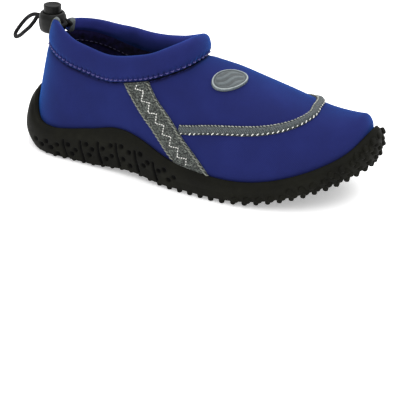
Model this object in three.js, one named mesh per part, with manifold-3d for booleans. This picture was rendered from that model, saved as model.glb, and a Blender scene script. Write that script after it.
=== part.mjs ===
// A child's slip-on water shoe, right foot: a hollow neoprene upper with a padded collar in a moulded
// rubber cup sole. Millimetres, +Z up, toe along +X, inner (medial) side along +Y. The origin lies on the
// floor, under the middle of the sole. Each piece is worked out on a shoe that lies flat and straight, and
// bend() gives it its real curves.
import * as THREE from "three";
import { mergeVertices } from "three/addons/utils/BufferGeometryUtils.js";
import Module from "manifold-3d";

const wasm = await Module();
wasm.setup();

// Upper
const upperLength = 196; // outside, heel to toe
const ballWidth = 71; // outside, across the widest part of the forefoot
const lastHeight = 100; // of the closed form that the sections are cut from
const upperWall = 2.6; // neoprene with a knit on both faces
const fitGap = 0.3; // left between two pieces that touch
const insoleThickness = 2.5;

// Sole
const footbedHeight = 7; // from the floor up to the footbed, knobs included
const knobHeight = 2.4;
const knobWidth = 3.7; // at its root
const knobPitch = 6.4; // along a row
const toeSpring = { height: 19.5, from: 0.64, power: 2.2 }; // the toe curls up from this share of the length
const arch = { height: 2.5, from: 0.24, to: 0.53 };
const toeSwing = { shift: 8, from: 0.45, power: 1.6 }; // towards the medial side
const counterHeight = 30; // rim of the heel counter above the floor
const soleWall = 5.5; // rubber outside the upper at the heel

// Heel and collar
const heelHeight = 61; // seam under the collar above the floor, at the back
const heelLean = { shift: 11.2, power: 1.15, to: 0.45 }; // the back leans forward as it rises to heelHeight
const collarHeight = 16.5; // of the band at its lateral end
const collarEnds = { lateral: 0.08, medial: 0.045 }; // shares of the loop left open at the back of the heel
const collarPuff = 3.3; // half of the band's thickness where it is fullest
const tunnel = { width: 2.8, depth: 8, up: 0.5 }; // mouth for the cord in each end of the band

// Trim
const tape = { width: 14, thickness: 0.9 };
const piping = { width: 5.2, thickness: 1.2 };
const badge = { length: 19.6, width: 13.8, thickness: 1.6, rim: 1.8, sunk: 0.5 };
const badgePlace = { at: 0.625, turn: 0.413, slant: 40 }; // on the form, and degrees round its middle
const binding = { outerWidth: 1.3, innerWidth: 4.5, thickness: 0.8 };

// Cord lock and cord
const cordWidth = 2.0;
const barrel = { width: 15.6, neck: 13, height: 11.2, bore: 10.5, floor: 1.2 };
// The lock's foot, from the top of the heel's back
const lockPlace = { behind: 1.4, aside: -1, above: 1.3 };
const cordSeatHeight = 7.3; // from the foot of the lock up to the cord
const plunger = { width: 9.9, proud: 4.4, travel: 3 };
const loop = { reach: 18.2, drop: 15, spread: 4 }; // the free loop behind the heel

// The closed form of the upper. Widths are shares of half the ball width, ridge is a share of lastHeight,
// and round is the power of the section's curve: 2 is an ellipse and more is boxier.
const sections = [
  { at: 0.0, lateral: 0.78, medial: 0.74, ridge: 1.0, round: 2.8 },
  { at: 0.12, lateral: 0.78, medial: 0.74, ridge: 1.0, round: 2.8 },
  { at: 0.25, lateral: 0.79, medial: 0.73, ridge: 0.9, round: 2.6 },
  { at: 0.4, lateral: 0.86, medial: 0.76, ridge: 0.735, round: 2.4 },
  { at: 0.5, lateral: 0.94, medial: 0.86, ridge: 0.65, round: 2.25 },
  { at: 0.62, lateral: 1.01, medial: 0.96, ridge: 0.6, round: 2.25 },
  { at: 0.75, lateral: 1.04, medial: 1.0, ridge: 0.513, round: 2.3 },
  { at: 0.88, lateral: 1.0, medial: 1.0, ridge: 0.381, round: 2.4 },
  { at: 1.0, lateral: 1.0, medial: 1.0, ridge: 0.28, round: 2.4 },
];
const heelCap = { share: 0.16, power: 2.0 }; // the stretch over which the outline rounds to the heel
const toeCap = { share: 0.4, power: 2.1 };
const toeDrop = { share: 0.035, power: 2.3 }; // the stretch over which the ridge falls at the toe
const tuck = { depth: 0.05, height: 7 }; // the side draws in towards the footbed

// The sole's top edge above the floor as shares of counterHeight, and its rubber as shares of soleWall
const rim = [
  { at: 0.0, lateral: 1, medial: 1, wall: 1 },
  { at: 0.02, lateral: 0.9, medial: 0.9, wall: 0.98 },
  { at: 0.06, lateral: 0.62, medial: 0.62, wall: 0.87 },
  { at: 0.12, lateral: 0.565, medial: 0.565, wall: 0.76 },
  { at: 0.18, lateral: 0.62, medial: 0.62, wall: 0.72 },
  { at: 0.24, lateral: 0.71, medial: 0.71, wall: 0.69 },
  { at: 0.33, lateral: 0.805, medial: 0.805, wall: 0.655 },
  { at: 0.43, lateral: 0.7, medial: 0.72, wall: 0.655 },
  { at: 0.54, lateral: 0.515, medial: 0.54, wall: 0.655 },
  { at: 0.66, lateral: 0.435, medial: 0.45, wall: 0.69 },
  { at: 0.8, lateral: 0.417, medial: 0.417, wall: 0.8 },
  { at: 0.93, lateral: 0.467, medial: 0.467, wall: 0.98 },
  { at: 0.97, lateral: 0.535, medial: 0.535, wall: 0.98 },
  { at: 1.0, lateral: 0.68, medial: 0.68, wall: 0.98 },
];

// The rubber's thickness from the tread's edge up to the rim, as shares of the height and of the wall
const soleProfile = [
  { at: 0.0, share: 0.74 },
  { at: 0.3, share: 0.98 },
  { at: 0.62, share: 1.0 },
  { at: 0.86, share: 0.84 },
  { at: 1.0, share: 0.5 },
];

// Side view of the seam between upper and collar, as shares of heelHeight above the floor
const seam = [
  { at: 0.0, height: 1 },
  { at: 0.08, height: 0.943 },
  { at: 0.18, height: 0.869 },
  { at: 0.3, height: 0.811 },
  { at: 0.4, height: 0.844 },
  { at: 0.48, height: 0.959 },
  { at: 0.54, height: 1.09 },
  { at: 0.6, height: 1.393 },
];

// Height and inward lean of the collar band, as shares of collarHeight, from its lateral end at the back,
// round the front, to its medial end
const band = [
  { at: 0.0, height: 1, lean: 0 },
  { at: 0.12, height: 0.86, lean: 0.06 },
  { at: 0.3, height: 0.86, lean: 0.09 },
  { at: 0.42, height: 0.88, lean: 0.06 },
  { at: 0.5, height: 0.76, lean: 0.09 },
  { at: 0.6, height: 0.7, lean: 0.07 },
  { at: 0.68, height: 0.73, lean: 0.08 },
  { at: 0.77, height: 0.83, lean: 0.08 },
  { at: 0.86, height: 0.58, lean: 0.05 },
  { at: 1.0, height: 0.44, lean: 0 },
];

// Half thickness of the band up its height, as shares of collarPuff
const bandProfile = [
  { up: 0.14, half: 0.74 },
  { up: 0.34, half: 1.0 },
  { up: 0.6, half: 1.0 },
  { up: 0.84, half: 0.84 },
  { up: 0.96, half: 0.5 },
];

// Middle of the tape on each side, as shares of heelHeight above the floor
const tapeRoute = [
  { at: 0.345, height: 0.97 },
  { at: 0.425, height: 0.69 },
  { at: 0.477, height: 0.555 },
  { at: 0.527, height: 0.4 },
  { at: 0.575, height: 0.26 },
  { at: 0.62, height: 0.1 },
];

// Middle of the piping: turn runs from 0 at the lateral footbed over the ridge at 0.5 to 1 at the medial one
const pipingRoute = [
  { at: 0.48, turn: 0.13 },
  { at: 0.566, turn: 0.157 },
  { at: 0.657, turn: 0.195 },
  { at: 0.741, turn: 0.232 },
  { at: 0.793, turn: 0.273 },
  { at: 0.831, turn: 0.335 },
  { at: 0.851, turn: 0.42 },
  { at: 0.847, turn: 0.5 },
  { at: 0.839, turn: 0.58 },
  { at: 0.816, turn: 0.665 },
  { at: 0.779, turn: 0.727 },
  { at: 0.728, turn: 0.768 },
  { at: 0.647, turn: 0.805 },
  { at: 0.56, turn: 0.843 },
  { at: 0.48, turn: 0.87 },
];

// The free loop out of the lock, down behind the heel and back, as shares of its reach, drop and spread
const loopRoute = [
  { back: 0.31, down: 0.04, aside: 0.5 },
  { back: 0.62, down: 0.28, aside: 0.9 },
  { back: 0.82, down: 0.54, aside: 1.0 },
  { back: 0.96, down: 0.78, aside: 0.85 },
  { back: 1.0, down: 0.94, aside: 0.45 },
  { back: 0.9, down: 1.0, aside: -0.15 },
  { back: 0.66, down: 0.85, aside: -0.7 },
  { back: 0.45, down: 0.63, aside: -1.0 },
  { back: 0.27, down: 0.43, aside: -0.98 },
  { back: 0.14, down: 0.2, aside: -0.62 },
];

// Side grooves of the sole: where each one starts at the top and how far it slants forward going down
const grooves = [0.178, 0.232, 0.288, 0.347, 0.409, 0.468];
const groove = { width: 1.5, depth: 1.1, top: 0.7, slant: 0.014 };

// Flat lugs that the shoe stands on, among the round knobs
const heelPad = { at: 0.14, length: 26, width: 22 };
const forefootPad = { at: 0.585, length: 13, width: 36 };
const lug = { width: 8, pitch: 16 };

// Knobs on the toe bumper: the height of each row, as a share of the wall
const toeRows = [0.14, 0.42];
const toeKnobHeight = 1.3;

const { clamp, lerp } = THREE.MathUtils;
const vector = (x, y, z) => new THREE.Vector3(x, y, z);

// Smooth curve through one column of a table
function read(table, name, at, key = "at") {
  const last = table.length - 1;
  let i = 0;
  while (i < last - 1 && at > table[i + 1][key]) i++;
  const slope = (k) => {
    const a = table[Math.max(k - 1, 0)];
    const b = table[Math.min(k + 1, last)];
    return (b[name] - a[name]) / (b[key] - a[key]);
  };
  const [p, q] = [table[i], table[i + 1]];
  const span = q[key] - p[key];
  const u = clamp((at - p[key]) / span, 0, 1);
  const u2 = u * u;
  const u3 = u2 * u;
  return (
    (2 * u3 - 3 * u2 + 1) * p[name] +
    (u3 - 2 * u2 + u) * span * slope(i) +
    (3 * u2 - 2 * u3) * q[name] +
    (u3 - u2) * span * slope(i + 1)
  );
}

// Rises from 0 to 1 over the given share, as a quarter of a superellipse
function cap({ share, power }, distance) {
  if (distance >= share) return 1;
  return Math.pow(1 - Math.pow(1 - Math.max(distance, 0) / share, power), 1 / power);
}

// Height of the form's ridge above the footbed; the rubber's own form stays full at the toe
function ridgeHeight(at, grow, full = false) {
  const ridge = lastHeight * read(sections, "ridge", at) - footbedHeight + grow;
  return full ? ridge : ridge * cap(toeDrop, 1 - at) + 0.01;
}

// Half width of the form, grown outwards, at a height above the footbed
function halfWidth(at, side, height, grow, full = false) {
  const ends = cap(heelCap, at) * cap(toeCap, 1 - at);
  const base = (ballWidth / 2) * read(sections, side, at) + grow;
  const round = read(sections, "round", at);
  const ratio = clamp(height / ridgeHeight(at, grow, full), 0, 1);
  const narrowing = Math.pow(1 - Math.pow(ratio, round), 1 / round);
  return base * ends * narrowing * (1 - tuck.depth * Math.exp(-Math.max(height, 0) / tuck.height));
}

const alongForm = (at, grow) => (at - 0.5) * (upperLength + 2 * grow);

// A point on the grown form, by its height above the footbed
function sidePoint(at, side, height, grow, full = false) {
  const sign = side === "lateral" ? -1 : 1;
  return vector(alongForm(at, grow), sign * halfWidth(at, side, height, grow, full), footbedHeight + height);
}

// A point on the grown form, by its turn over the ridge
function overPoint(at, turn, grow) {
  const side = turn < 0.5 ? "lateral" : "medial";
  const angle = Math.PI * (turn < 0.5 ? turn : 1 - turn);
  const height = ridgeHeight(at, grow) * Math.pow(Math.sin(angle), 2 / read(sections, "round", at));
  return sidePoint(at, side, height, grow);
}

// Gives a point of the flat shoe its toe spring, arch, swing of the toe and lean of the heel
function bend(p) {
  const at = p.x / upperLength + 0.5;
  const past = (start) => Math.max(at - start, 0) / (1 - start);
  const spring = toeSpring.height * Math.pow(past(toeSpring.from), toeSpring.power);
  const inArch = clamp((at - arch.from) / (arch.to - arch.from), 0, 1);
  const raise = arch.height * Math.pow(Math.sin(Math.PI * inArch), 2);
  const back = Math.max(1 - Math.max(at, 0) / heelLean.to, 0);
  const lean = heelLean.shift * Math.pow(Math.max(p.z, 0) / heelHeight, heelLean.power) * back;
  const swing = toeSwing.shift * Math.pow(past(toeSwing.from), toeSwing.power);
  return vector(p.x + lean, p.y + swing, p.z + spring + raise);
}

function toSolid(geometry) {
  const bare = geometry.clone();
  bare.deleteAttribute("normal");
  bare.deleteAttribute("uv");
  const merged = mergeVertices(bare, 1e-4);
  const vertProperties = new Float32Array(merged.attributes.position.array);
  const triVerts = new Uint32Array(merged.index.array);
  return new wasm.Manifold(new wasm.Mesh({ numProp: 3, vertProperties, triVerts }));
}

function toGeometry(solid, shape = (p) => p) {
  const mesh = solid.getMesh();
  const points = [];
  for (let i = 0; i < mesh.vertProperties.length; i += mesh.numProp) {
    points.push(shape(vector(...mesh.vertProperties.subarray(i, i + 3))));
  }
  return new THREE.BufferGeometry().setFromPoints(points).setIndex([...mesh.triVerts]);
}

// Closed skin over rings of equal length, each end closed by a fan
function skin(rings) {
  const n = rings[0].length;
  const points = rings.flat();
  const faces = [];
  for (let i = 0; i < rings.length - 1; i++) {
    for (let j = 0; j < n; j++) {
      const a = i * n + j;
      const b = i * n + ((j + 1) % n);
      faces.push(a, b, a + n, b, b + n, a + n);
    }
  }
  const close = (start, flip) => {
    const middle = vector(0, 0, 0);
    for (let j = 0; j < n; j++) middle.add(points[start + j]);
    points.push(middle.divideScalar(n));
    for (let j = 0; j < n; j++) {
      const a = start + j;
      const b = start + ((j + 1) % n);
      faces.push(...(flip ? [b, a] : [a, b]), points.length - 1);
    }
  };
  close(0, true);
  close((rings.length - 1) * n, false);
  return new THREE.BufferGeometry().setFromPoints(points).setIndex(faces);
}

const stationCount = 28;
const stationShare = (i) => (1 - Math.cos((Math.PI * (i + 0.02)) / (stationCount + 0.04))) / 2;
const always = (value) => () => value;
const overTheRidge = always(2 * lastHeight);

// The form between two heights above the footbed; grow may change with the station and with the share of
// the height
function form(grow, low, high, steps = 6) {
  const full = typeof grow === "function";
  const growAt = full ? grow : always(grow);
  const rings = [];
  for (let i = stationCount; i >= 0; i--) {
    const at = stationShare(i);
    const up = (side, j) => {
      const top = Math.min(high(at, side), ridgeHeight(at, growAt(at, 0.5), full) * 0.999);
      const height = lerp(low(at, side), top, Math.sin((j / steps) * (Math.PI / 2)));
      return sidePoint(at, side, height, growAt(at, (height - low(at, side)) / (top - low(at, side))), full);
    };
    const ring = [];
    for (let j = 0; j <= steps; j++) ring.push(up("lateral", j));
    for (let j = steps; j >= 0; j--) ring.push(up("medial", j));
    rings.push(ring);
  }
  return toSolid(skin(rings));
}

const whole = (grow) => form(grow, always(-fitGap), overTheRidge);

// Everything above the seam, moved up or down
function aboveSeam(shift) {
  const outline = new THREE.Shape();
  const ends = [-0.2, 0.6];
  const roof = 2 * lastHeight;
  const depth = 2 * ballWidth;
  outline.moveTo(alongForm(ends[0], 0), roof);
  outline.lineTo(alongForm(ends[0], 0), heelHeight * seam[0].height + shift);
  for (let i = 0; i <= 48; i++) {
    const at = (ends[1] * i) / 48;
    outline.lineTo(alongForm(at, 0), heelHeight * read(seam, "height", at) + shift);
  }
  outline.lineTo(alongForm(ends[1], 0), roof);
  const block = new THREE.ExtrudeGeometry(outline, { depth, bevelEnabled: false, steps: 1 });
  block.rotateX(Math.PI / 2);
  block.translate(0, depth / 2, 0);
  return toSolid(block);
}

// A strip that stands on the form along a route, wide enough outwards and inwards to be cut to a thickness
function strip(route, width, steps, reach = 5) {
  const rings = [];
  for (let i = 0; i <= steps; i++) {
    const [before, here, after] = [i - 0.5, i, i + 0.5].map((k) => route(clamp(k / steps, 0, 1), 0));
    const along = after.clone().sub(before).normalize();
    const out = route(i / steps, 1).sub(here).normalize();
    const across = new THREE.Vector3().crossVectors(along, out).normalize();
    out.crossVectors(across, along).normalize();
    const corner = (a, b) =>
      here
        .clone()
        .addScaledVector(across, (a * width) / 2)
        .addScaledVector(out, b * reach);
    rings.push([corner(-1, -1), corner(-1, 1), corner(1, 1), corner(1, -1)]);
  }
  return toSolid(skin(rings));
}

// The part of a strip that lies on the upper with the given thickness
function laidOn(solid, thickness) {
  return solid.intersect(whole(fitGap + thickness)).subtract(whole(fitGap));
}

function makeUpper() {
  const lining = form(-upperWall, always(-upperWall), overTheRidge, 5);
  return form(0, always(0), overTheRidge).subtract(lining).subtract(aboveSeam(0));
}

function makeInsole() {
  return form(-upperWall - fitGap, always(0), always(insoleThickness), 1);
}

const treadEdge = knobHeight - footbedHeight; // height of the sole's underside from the footbed
const rimHeight = (at, side) => counterHeight * read(rim, side, at) - footbedHeight;
const soleGrow = (at, up) => soleWall * read(rim, "wall", at) * read(soleProfile, "share", up);

const knobRoot = 0.5; // how far a knob reaches into the rubber above it

// A knob with its narrower end on the floor
function knob(spot, width, corners) {
  const height = knobHeight + knobRoot;
  const stub = new THREE.CylinderGeometry(width / 2, width * 0.38, height, corners, 1);
  stub.rotateX(Math.PI / 2);
  stub.translate(spot.x, spot.y, height / 2);
  return toSolid(stub);
}

function pad({ at, length, width }) {
  const height = knobHeight + knobRoot;
  const plate = new THREE.CylinderGeometry(0.5, 0.47, height, 16, 1);
  plate.rotateX(Math.PI / 2);
  plate.scale(length, width, 1);
  plate.translate(alongForm(at, 0), 0, height / 2);
  return toSolid(plate);
}

const soleEdge = (at, side) => sidePoint(at, side, treadEdge, soleGrow(at, 0), true).setZ(0);

// The tread's edge as a line round the shoe
function edgeLine(count = 360) {
  const line = [];
  for (let i = 0; i < count; i++) {
    const round = (i / count) * 2 * Math.PI;
    line.push(soleEdge((1 - Math.cos(round)) / 2, round < Math.PI ? "lateral" : "medial"));
  }
  return line;
}

// One row of knobs along the edge, and large lugs in a staggered field inside it
function treadSpots() {
  const line = edgeLine();
  const inset = knobWidth / 2 + 0.2;
  const edge = [];
  let run = 0;
  for (let i = 0; i < line.length; i++) {
    const next = line[(i + 1) % line.length];
    const ahead = next.clone().sub(line[i]);
    run += ahead.length();
    if (run < knobPitch) continue;
    run -= knobPitch;
    ahead.normalize();
    edge.push(line[i].clone().addScaledVector(vector(-ahead.y, ahead.x, 0), inset));
  }
  const field = [];
  const rows = Math.ceil(upperLength / (2 * lug.pitch));
  for (let i = -rows; i <= rows; i++) {
    for (let j = -3; j <= 3; j++) {
      const spot = vector(i * lug.pitch * 0.87, (j + (i % 2 ? 0.5 : 0)) * lug.pitch, 0);
      const nearest = Math.min(...line.map((p) => p.distanceTo(spot)));
      const at = spot.x / upperLength + 0.5;
      const half = halfWidth(clamp(at, 0, 1), spot.y < 0 ? "lateral" : "medial", 0, 0);
      const inside = at > 0 && at < 1 && Math.abs(spot.y) < half;
      if (inside && nearest > knobWidth + lug.width / 2 + 1 && clearOfPads(spot)) field.push(spot);
    }
  }
  return { edge, field };
}

function clearOfPads(spot) {
  return [heelPad, forefootPad].every(({ at, length, width }) => {
    const dx = (spot.x - alongForm(at, 0)) / (length / 2 + lug.width / 2 + 1);
    const dy = spot.y / (width / 2 + lug.width / 2 + 1);
    return dx * dx + dy * dy > 1;
  });
}

// Rows of small knobs that climb the front of the toe bumper
function toeKnobs() {
  const knobs = [];
  for (const [row, up] of toeRows.entries()) {
    for (const side of ["lateral", "medial"]) {
      for (let i = 0; i < 5; i++) {
        const at = 1 - 0.08 * Math.pow((i + (row % 2 ? 0.9 : 0.4)) / 5, 1.7);
        const height = lerp(treadEdge, rimHeight(at, side), up);
        const root = sidePoint(at, side, height, soleGrow(at, up), true);
        const out = sidePoint(at, side, height, soleGrow(at, up) + 1, true).sub(root).normalize();
        const stub = new THREE.CylinderGeometry(knobWidth * 0.34, knobWidth * 0.5, 2 * toeKnobHeight, 5, 1);
        const turn = new THREE.Quaternion().setFromUnitVectors(vector(0, 1, 0), out);
        stub.applyQuaternion(turn);
        stub.translate(...root);
        knobs.push(toSolid(stub));
      }
    }
  }
  return knobs;
}

function soleForm(extra) {
  const top = (at, side) => rimHeight(at, side) + Math.max(extra, 0);
  return form((at, up) => soleGrow(at, up) + extra, always(treadEdge), top);
}

// Narrow slanted troughs in the rubber wall of the heel and waist
function makeGrooves() {
  const core = soleForm(-groove.depth);
  const cuts = [];
  for (const side of ["lateral", "medial"]) {
    for (const start of grooves) {
      const route = (share, grow) => {
        const at = start + groove.slant * share;
        const up = lerp(groove.top, -0.06, share);
        const height = lerp(treadEdge, rimHeight(at, side), up);
        return sidePoint(at, side, height, soleGrow(at, Math.max(up, 0)) + grow, true);
      };
      cuts.push(strip(route, groove.width, 2, 2.5));
    }
  }
  return wasm.Manifold.union(cuts).subtract(core);
}

function makeSole() {
  const cup = soleForm(0).subtract(makeGrooves()).subtract(form(fitGap, always(-fitGap), overTheRidge));
  const { edge, field } = treadSpots();
  const lugs = [
    ...edge.map((p) => knob(p, knobWidth, 5)),
    ...field.map((p) => knob(p, lug.width, 6)),
    ...toeKnobs(),
    pad(heelPad),
    pad(forefootPad),
  ];
  return cup.add(wasm.Manifold.union(lugs));
}

const seamHeight = (x) => heelHeight * read(seam, "height", x / upperLength + 0.5);

// Where the seam closes over the instep
function seamFront(grow) {
  let [low, high] = [0.3, 0.6];
  for (let i = 0; i < 40; i++) {
    const at = (low + high) / 2;
    const under = seamHeight(alongForm(at, grow)) - footbedHeight < ridgeHeight(at, grow);
    [low, high] = under ? [at, high] : [low, at];
  }
  return low;
}

// A point of the seam's loop: round runs from 0 at the back over the lateral side to 1 at the back again
function seamPoint(round, grow) {
  const at = (seamFront(grow) * (1 - Math.cos(round * 2 * Math.PI))) / 2;
  const height = seamHeight(alongForm(at, grow)) - footbedHeight;
  return sidePoint(at, round < 0.5 ? "lateral" : "medial", height, grow);
}

const bandRound = (share) => lerp(collarEnds.lateral, 1 - collarEnds.medial, share);

// Length of the band along its seam, to turn lengths along the band into shares
const bandLength = (() => {
  const steps = 60;
  const line = Array.from({ length: steps + 1 }, (_, i) => seamPoint(bandRound(i / steps), 0));
  return new THREE.CatmullRomCurve3(line).getLength();
})();

// One section of the collar band, grown for what wraps round it; its outer and inner halves may stand apart
function bandRing(share, grow, innerShare = share) {
  if (innerShare !== share) {
    const [inner, outer] = [bandRing(innerShare, grow), bandRing(share, grow)];
    const half = bandProfile.length + 1;
    return [...inner.slice(0, half), ...outer.slice(half)];
  }
  const round = bandRound(share);
  const outer = seamPoint(round, 0);
  const inner = seamPoint(round, -upperWall);
  const [before, after] = [-0.002, 0.002].map((step) => seamPoint(round + step, -upperWall / 2));
  const ahead = after.sub(before).normalize();
  const out = vector(ahead.y, -ahead.x, 0).normalize();
  const up = new THREE.Vector3().crossVectors(out, ahead).normalize();
  if (up.z < 0) up.negate();
  const middle = outer.clone().add(inner).multiplyScalar(0.5);
  const height = collarHeight * read(band, "height", share);
  const lean = collarHeight * read(band, "lean", share);
  const stand = vector(0, 0, height).addScaledVector(out, -lean);
  const ring = [];
  const foot = (p) => p.clone().addScaledVector(up, fitGap - grow);
  ring.push(foot(outer));
  const rise = outer.clone().sub(middle);
  rise.addScaledVector(out, -rise.dot(out));
  const half = (row, sign) =>
    middle
      .clone()
      .addScaledVector(rise, sign * (1 - row.up))
      .addScaledVector(stand, row.up)
      .addScaledVector(out, sign * (collarPuff * row.half + grow));
  for (const row of bandProfile) ring.push(half(row, 1));
  ring.push(middle.clone().add(stand).addScaledVector(up, grow));
  for (const row of [...bandProfile].reverse()) ring.push(half(row, -1));
  ring.push(foot(inner));
  return ring.reverse();
}

const bandSolid = (from, to, steps, grow) =>
  toSolid(skin(Array.from({ length: steps + 1 }, (_, i) => bandRing(lerp(from, to, i / steps), grow))));

// The line of the cord's tunnel inside the band, on the real shoe
function tunnelPoint(share) {
  const ring = bandRing(clamp(share, 0, 1), 0);
  const foot = ring[0].clone().add(ring[ring.length - 1]).multiplyScalar(0.5);
  const top = ring[bandProfile.length + 1];
  return bend(foot.lerp(top, tunnel.up));
}

// The tunnel's line at one end: a point before its mouth, the mouth itself, and points further in
function tunnelLine(side, before, depths) {
  const end = side === "lateral" ? 0 : 1;
  const inward = end ? -1 : 1;
  const mouth = tunnelPoint(end);
  const ahead = tunnelPoint(end + inward * 0.01).sub(mouth).normalize();
  const shareOf = (depth) => end + (inward * depth) / bandLength;
  const inside = depths.map((depth) => tunnelPoint(shareOf(depth)));
  return [mouth.clone().addScaledVector(ahead, -before), mouth, ...inside];
}

function tube(points, width, corners, steps) {
  const section = new THREE.Shape();
  for (let i = 0; i < corners; i++) {
    const angle = (i / corners) * 2 * Math.PI;
    section[i ? "lineTo" : "moveTo"]((Math.cos(angle) * width) / 2, (Math.sin(angle) * width) / 2);
  }
  const extrudePath = new THREE.CatmullRomCurve3(points, false, "centripetal");
  return new THREE.ExtrudeGeometry(section, { steps, bevelEnabled: false, extrudePath });
}

const bendSolid = (solid) => toSolid(toGeometry(solid, bend));

function makeBand() {
  let solid = bendSolid(bandSolid(0, 1, 25, 0));
  for (const side of ["lateral", "medial"]) {
    const line = tunnelLine(side, 1, [tunnel.depth / 2, tunnel.depth]);
    solid = solid.subtract(toSolid(tube(line, tunnel.width, 8, 4)));
  }
  return solid;
}

// A tape folded over one end of the band: narrow outside, wide inside, open along the seam
function makeBinding(side) {
  const end = side === "lateral" ? 0 : 1;
  const shareOf = (width) => end + ((end ? -1 : 1) * width) / bandLength;
  const sleeveOf = (start, longer, grow) => {
    const rings = [
      bandRing(shareOf(start), grow),
      bandRing(shareOf(binding.outerWidth + longer), grow, shareOf(binding.innerWidth + longer)),
    ];
    return toSolid(skin(end ? rings.reverse() : rings));
  };
  const sleeve = sleeveOf(0, 0, fitGap + binding.thickness);
  return sleeve.subtract(sleeveOf(-fitGap, fitGap, fitGap)).intersect(aboveSeam(fitGap + binding.thickness));
}

const alongTable = (table, name, share) =>
  read(table.map((row, i) => ({ ...row, order: i / (table.length - 1) })), name, share, "order");

function tapeLine(side) {
  const height = (share) => heelHeight * alongTable(tapeRoute, "height", share) - footbedHeight;
  return (share, grow) => sidePoint(alongTable(tapeRoute, "at", share), side, height(share), grow);
}

function makeTape(side) {
  const laid = laidOn(strip(tapeLine(side), tape.width, 8), tape.thickness);
  return laid.subtract(aboveSeam(-fitGap)).subtract(soleForm(fitGap));
}

function makePiping() {
  const line = (share, grow) =>
    overPoint(alongTable(pipingRoute, "at", share), alongTable(pipingRoute, "turn", share), grow);
  const laid = laidOn(strip(line, piping.width, 24), piping.thickness);
  const kept = ["lateral", "medial"].map((side) => strip(tapeLine(side), tape.width + 2 * fitGap, 8, 8));
  return laid.subtract(kept[0]).subtract(kept[1]);
}

function makeBadge() {
  const centre = overPoint(badgePlace.at, badgePlace.turn, 0);
  const out = overPoint(badgePlace.at, badgePlace.turn, 1).sub(centre).normalize();
  const across = overPoint(badgePlace.at, badgePlace.turn + 0.02, 0).sub(centre).normalize();
  const ahead = new THREE.Vector3().crossVectors(across, out).normalize();
  const place = new THREE.Matrix4().makeBasis(across, out, ahead).setPosition(centre);
  const oval = (inset) => {
    const plug = new THREE.CylinderGeometry(0.5, 0.5, 14, 20, 1);
    plug.scale(badge.length - 2 * inset, 1, badge.width - 2 * inset);
    plug.rotateY(THREE.MathUtils.degToRad(-badgePlace.slant));
    return toSolid(plug.applyMatrix4(place));
  };
  const field = oval(badge.rim).subtract(whole(fitGap + badge.thickness - badge.sunk));
  return laidOn(oval(0), badge.thickness).subtract(field);
}

const turned = (profile, corners = 16) => {
  const lathe = new THREE.LatheGeometry(profile.map(([r, z]) => new THREE.Vector2(r, z)), corners);
  return lathe.rotateX(Math.PI / 2);
};

// Foot of the cord lock, behind the split in the collar
const lockFoot = bend(vector(alongForm(0, 0), 0, heelHeight)).add(
  vector(-lockPlace.behind, lockPlace.aside, lockPlace.above)
);
const cordHeight = lockFoot.z + cordSeatHeight;

// A slot through the lock for two strands of cord side by side
function cordSlot(below, above) {
  const width = 2 * cordWidth + 3 * fitGap;
  const block = new THREE.BoxGeometry(2 * barrel.width, width, above - below);
  return toSolid(block.translate(lockFoot.x, lockFoot.y, (above + below) / 2));
}

const cordTop = cordHeight + cordWidth / 2 + fitGap;
const cordBottom = cordHeight - cordWidth / 2 - fitGap;

function makeBarrel() {
  const [r, neck, bore] = [barrel.width / 2, barrel.neck / 2, barrel.bore / 2];
  const h = barrel.height;
  const profile = [
    [0, 0],
    [r * 0.78, 0],
    [r * 0.94, 1.4],
    [r, h * 0.45],
    [r * 0.98, h * 0.78],
    [neck, h],
    [bore, h],
    [bore, barrel.floor],
    [0, barrel.floor],
  ];
  const solid = toSolid(turned(profile).translate(...lockFoot));
  return solid.subtract(cordSlot(cordBottom, cordTop));
}

function makePlunger() {
  const r = plunger.width / 2;
  const bottom = lockFoot.z + barrel.floor + plunger.travel + fitGap;
  const top = lockFoot.z + barrel.height + plunger.proud;
  const profile = [
    [0, bottom],
    [r, bottom],
    [r, top - 1],
    [r - 0.3, top - 0.3],
    [r - 1, top],
    [0, top],
  ];
  const solid = toSolid(turned(profile).translate(lockFoot.x, lockFoot.y, 0));
  return solid.subtract(cordSlot(cordBottom, cordTop + plunger.travel));
}

const strand = { lateral: -1, medial: 1 };
const strandAside = (cordWidth + fitGap) / 2;
const strandY = (side) => lockFoot.y + strand[side] * strandAside;

// From the back of the lock through it and round into the collar's tunnel
function makeHeldCord(side) {
  const y = strandY(side);
  const front = lockFoot.x + barrel.width / 2;
  const line = tunnelLine(side, 1.5, [tunnel.depth / 2, tunnel.depth - 1.5]);
  const points = [
    vector(lockFoot.x - barrel.width / 2, y, cordHeight),
    vector(lockFoot.x, y, cordHeight),
    vector(front - 0.5, y, cordHeight),
    vector(front + 2.2, y + strand[side] * 1.6, lerp(cordHeight, line[0].z, 0.4)),
    ...line,
  ];
  return tube(points, cordWidth, 8, 12);
}

// The free loop: out of the lock on the medial strand and back on the lateral one
function makeLoop() {
  const start = lockFoot.x - barrel.width / 2 - fitGap;
  const spot = (back, down, aside) =>
    vector(start - loop.reach * back, lockFoot.y + aside, cordHeight - loop.drop * down);
  const points = [
    spot(0, 0, strandAside),
    spot(0.05, 0, strandAside),
    ...loopRoute.map((row) => spot(row.back, row.down, row.aside * loop.spread)),
    spot(0.05, 0, -strandAside),
    spot(0, 0, -strandAside),
  ];
  return tube(points, cordWidth, 8, 22);
}

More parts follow.
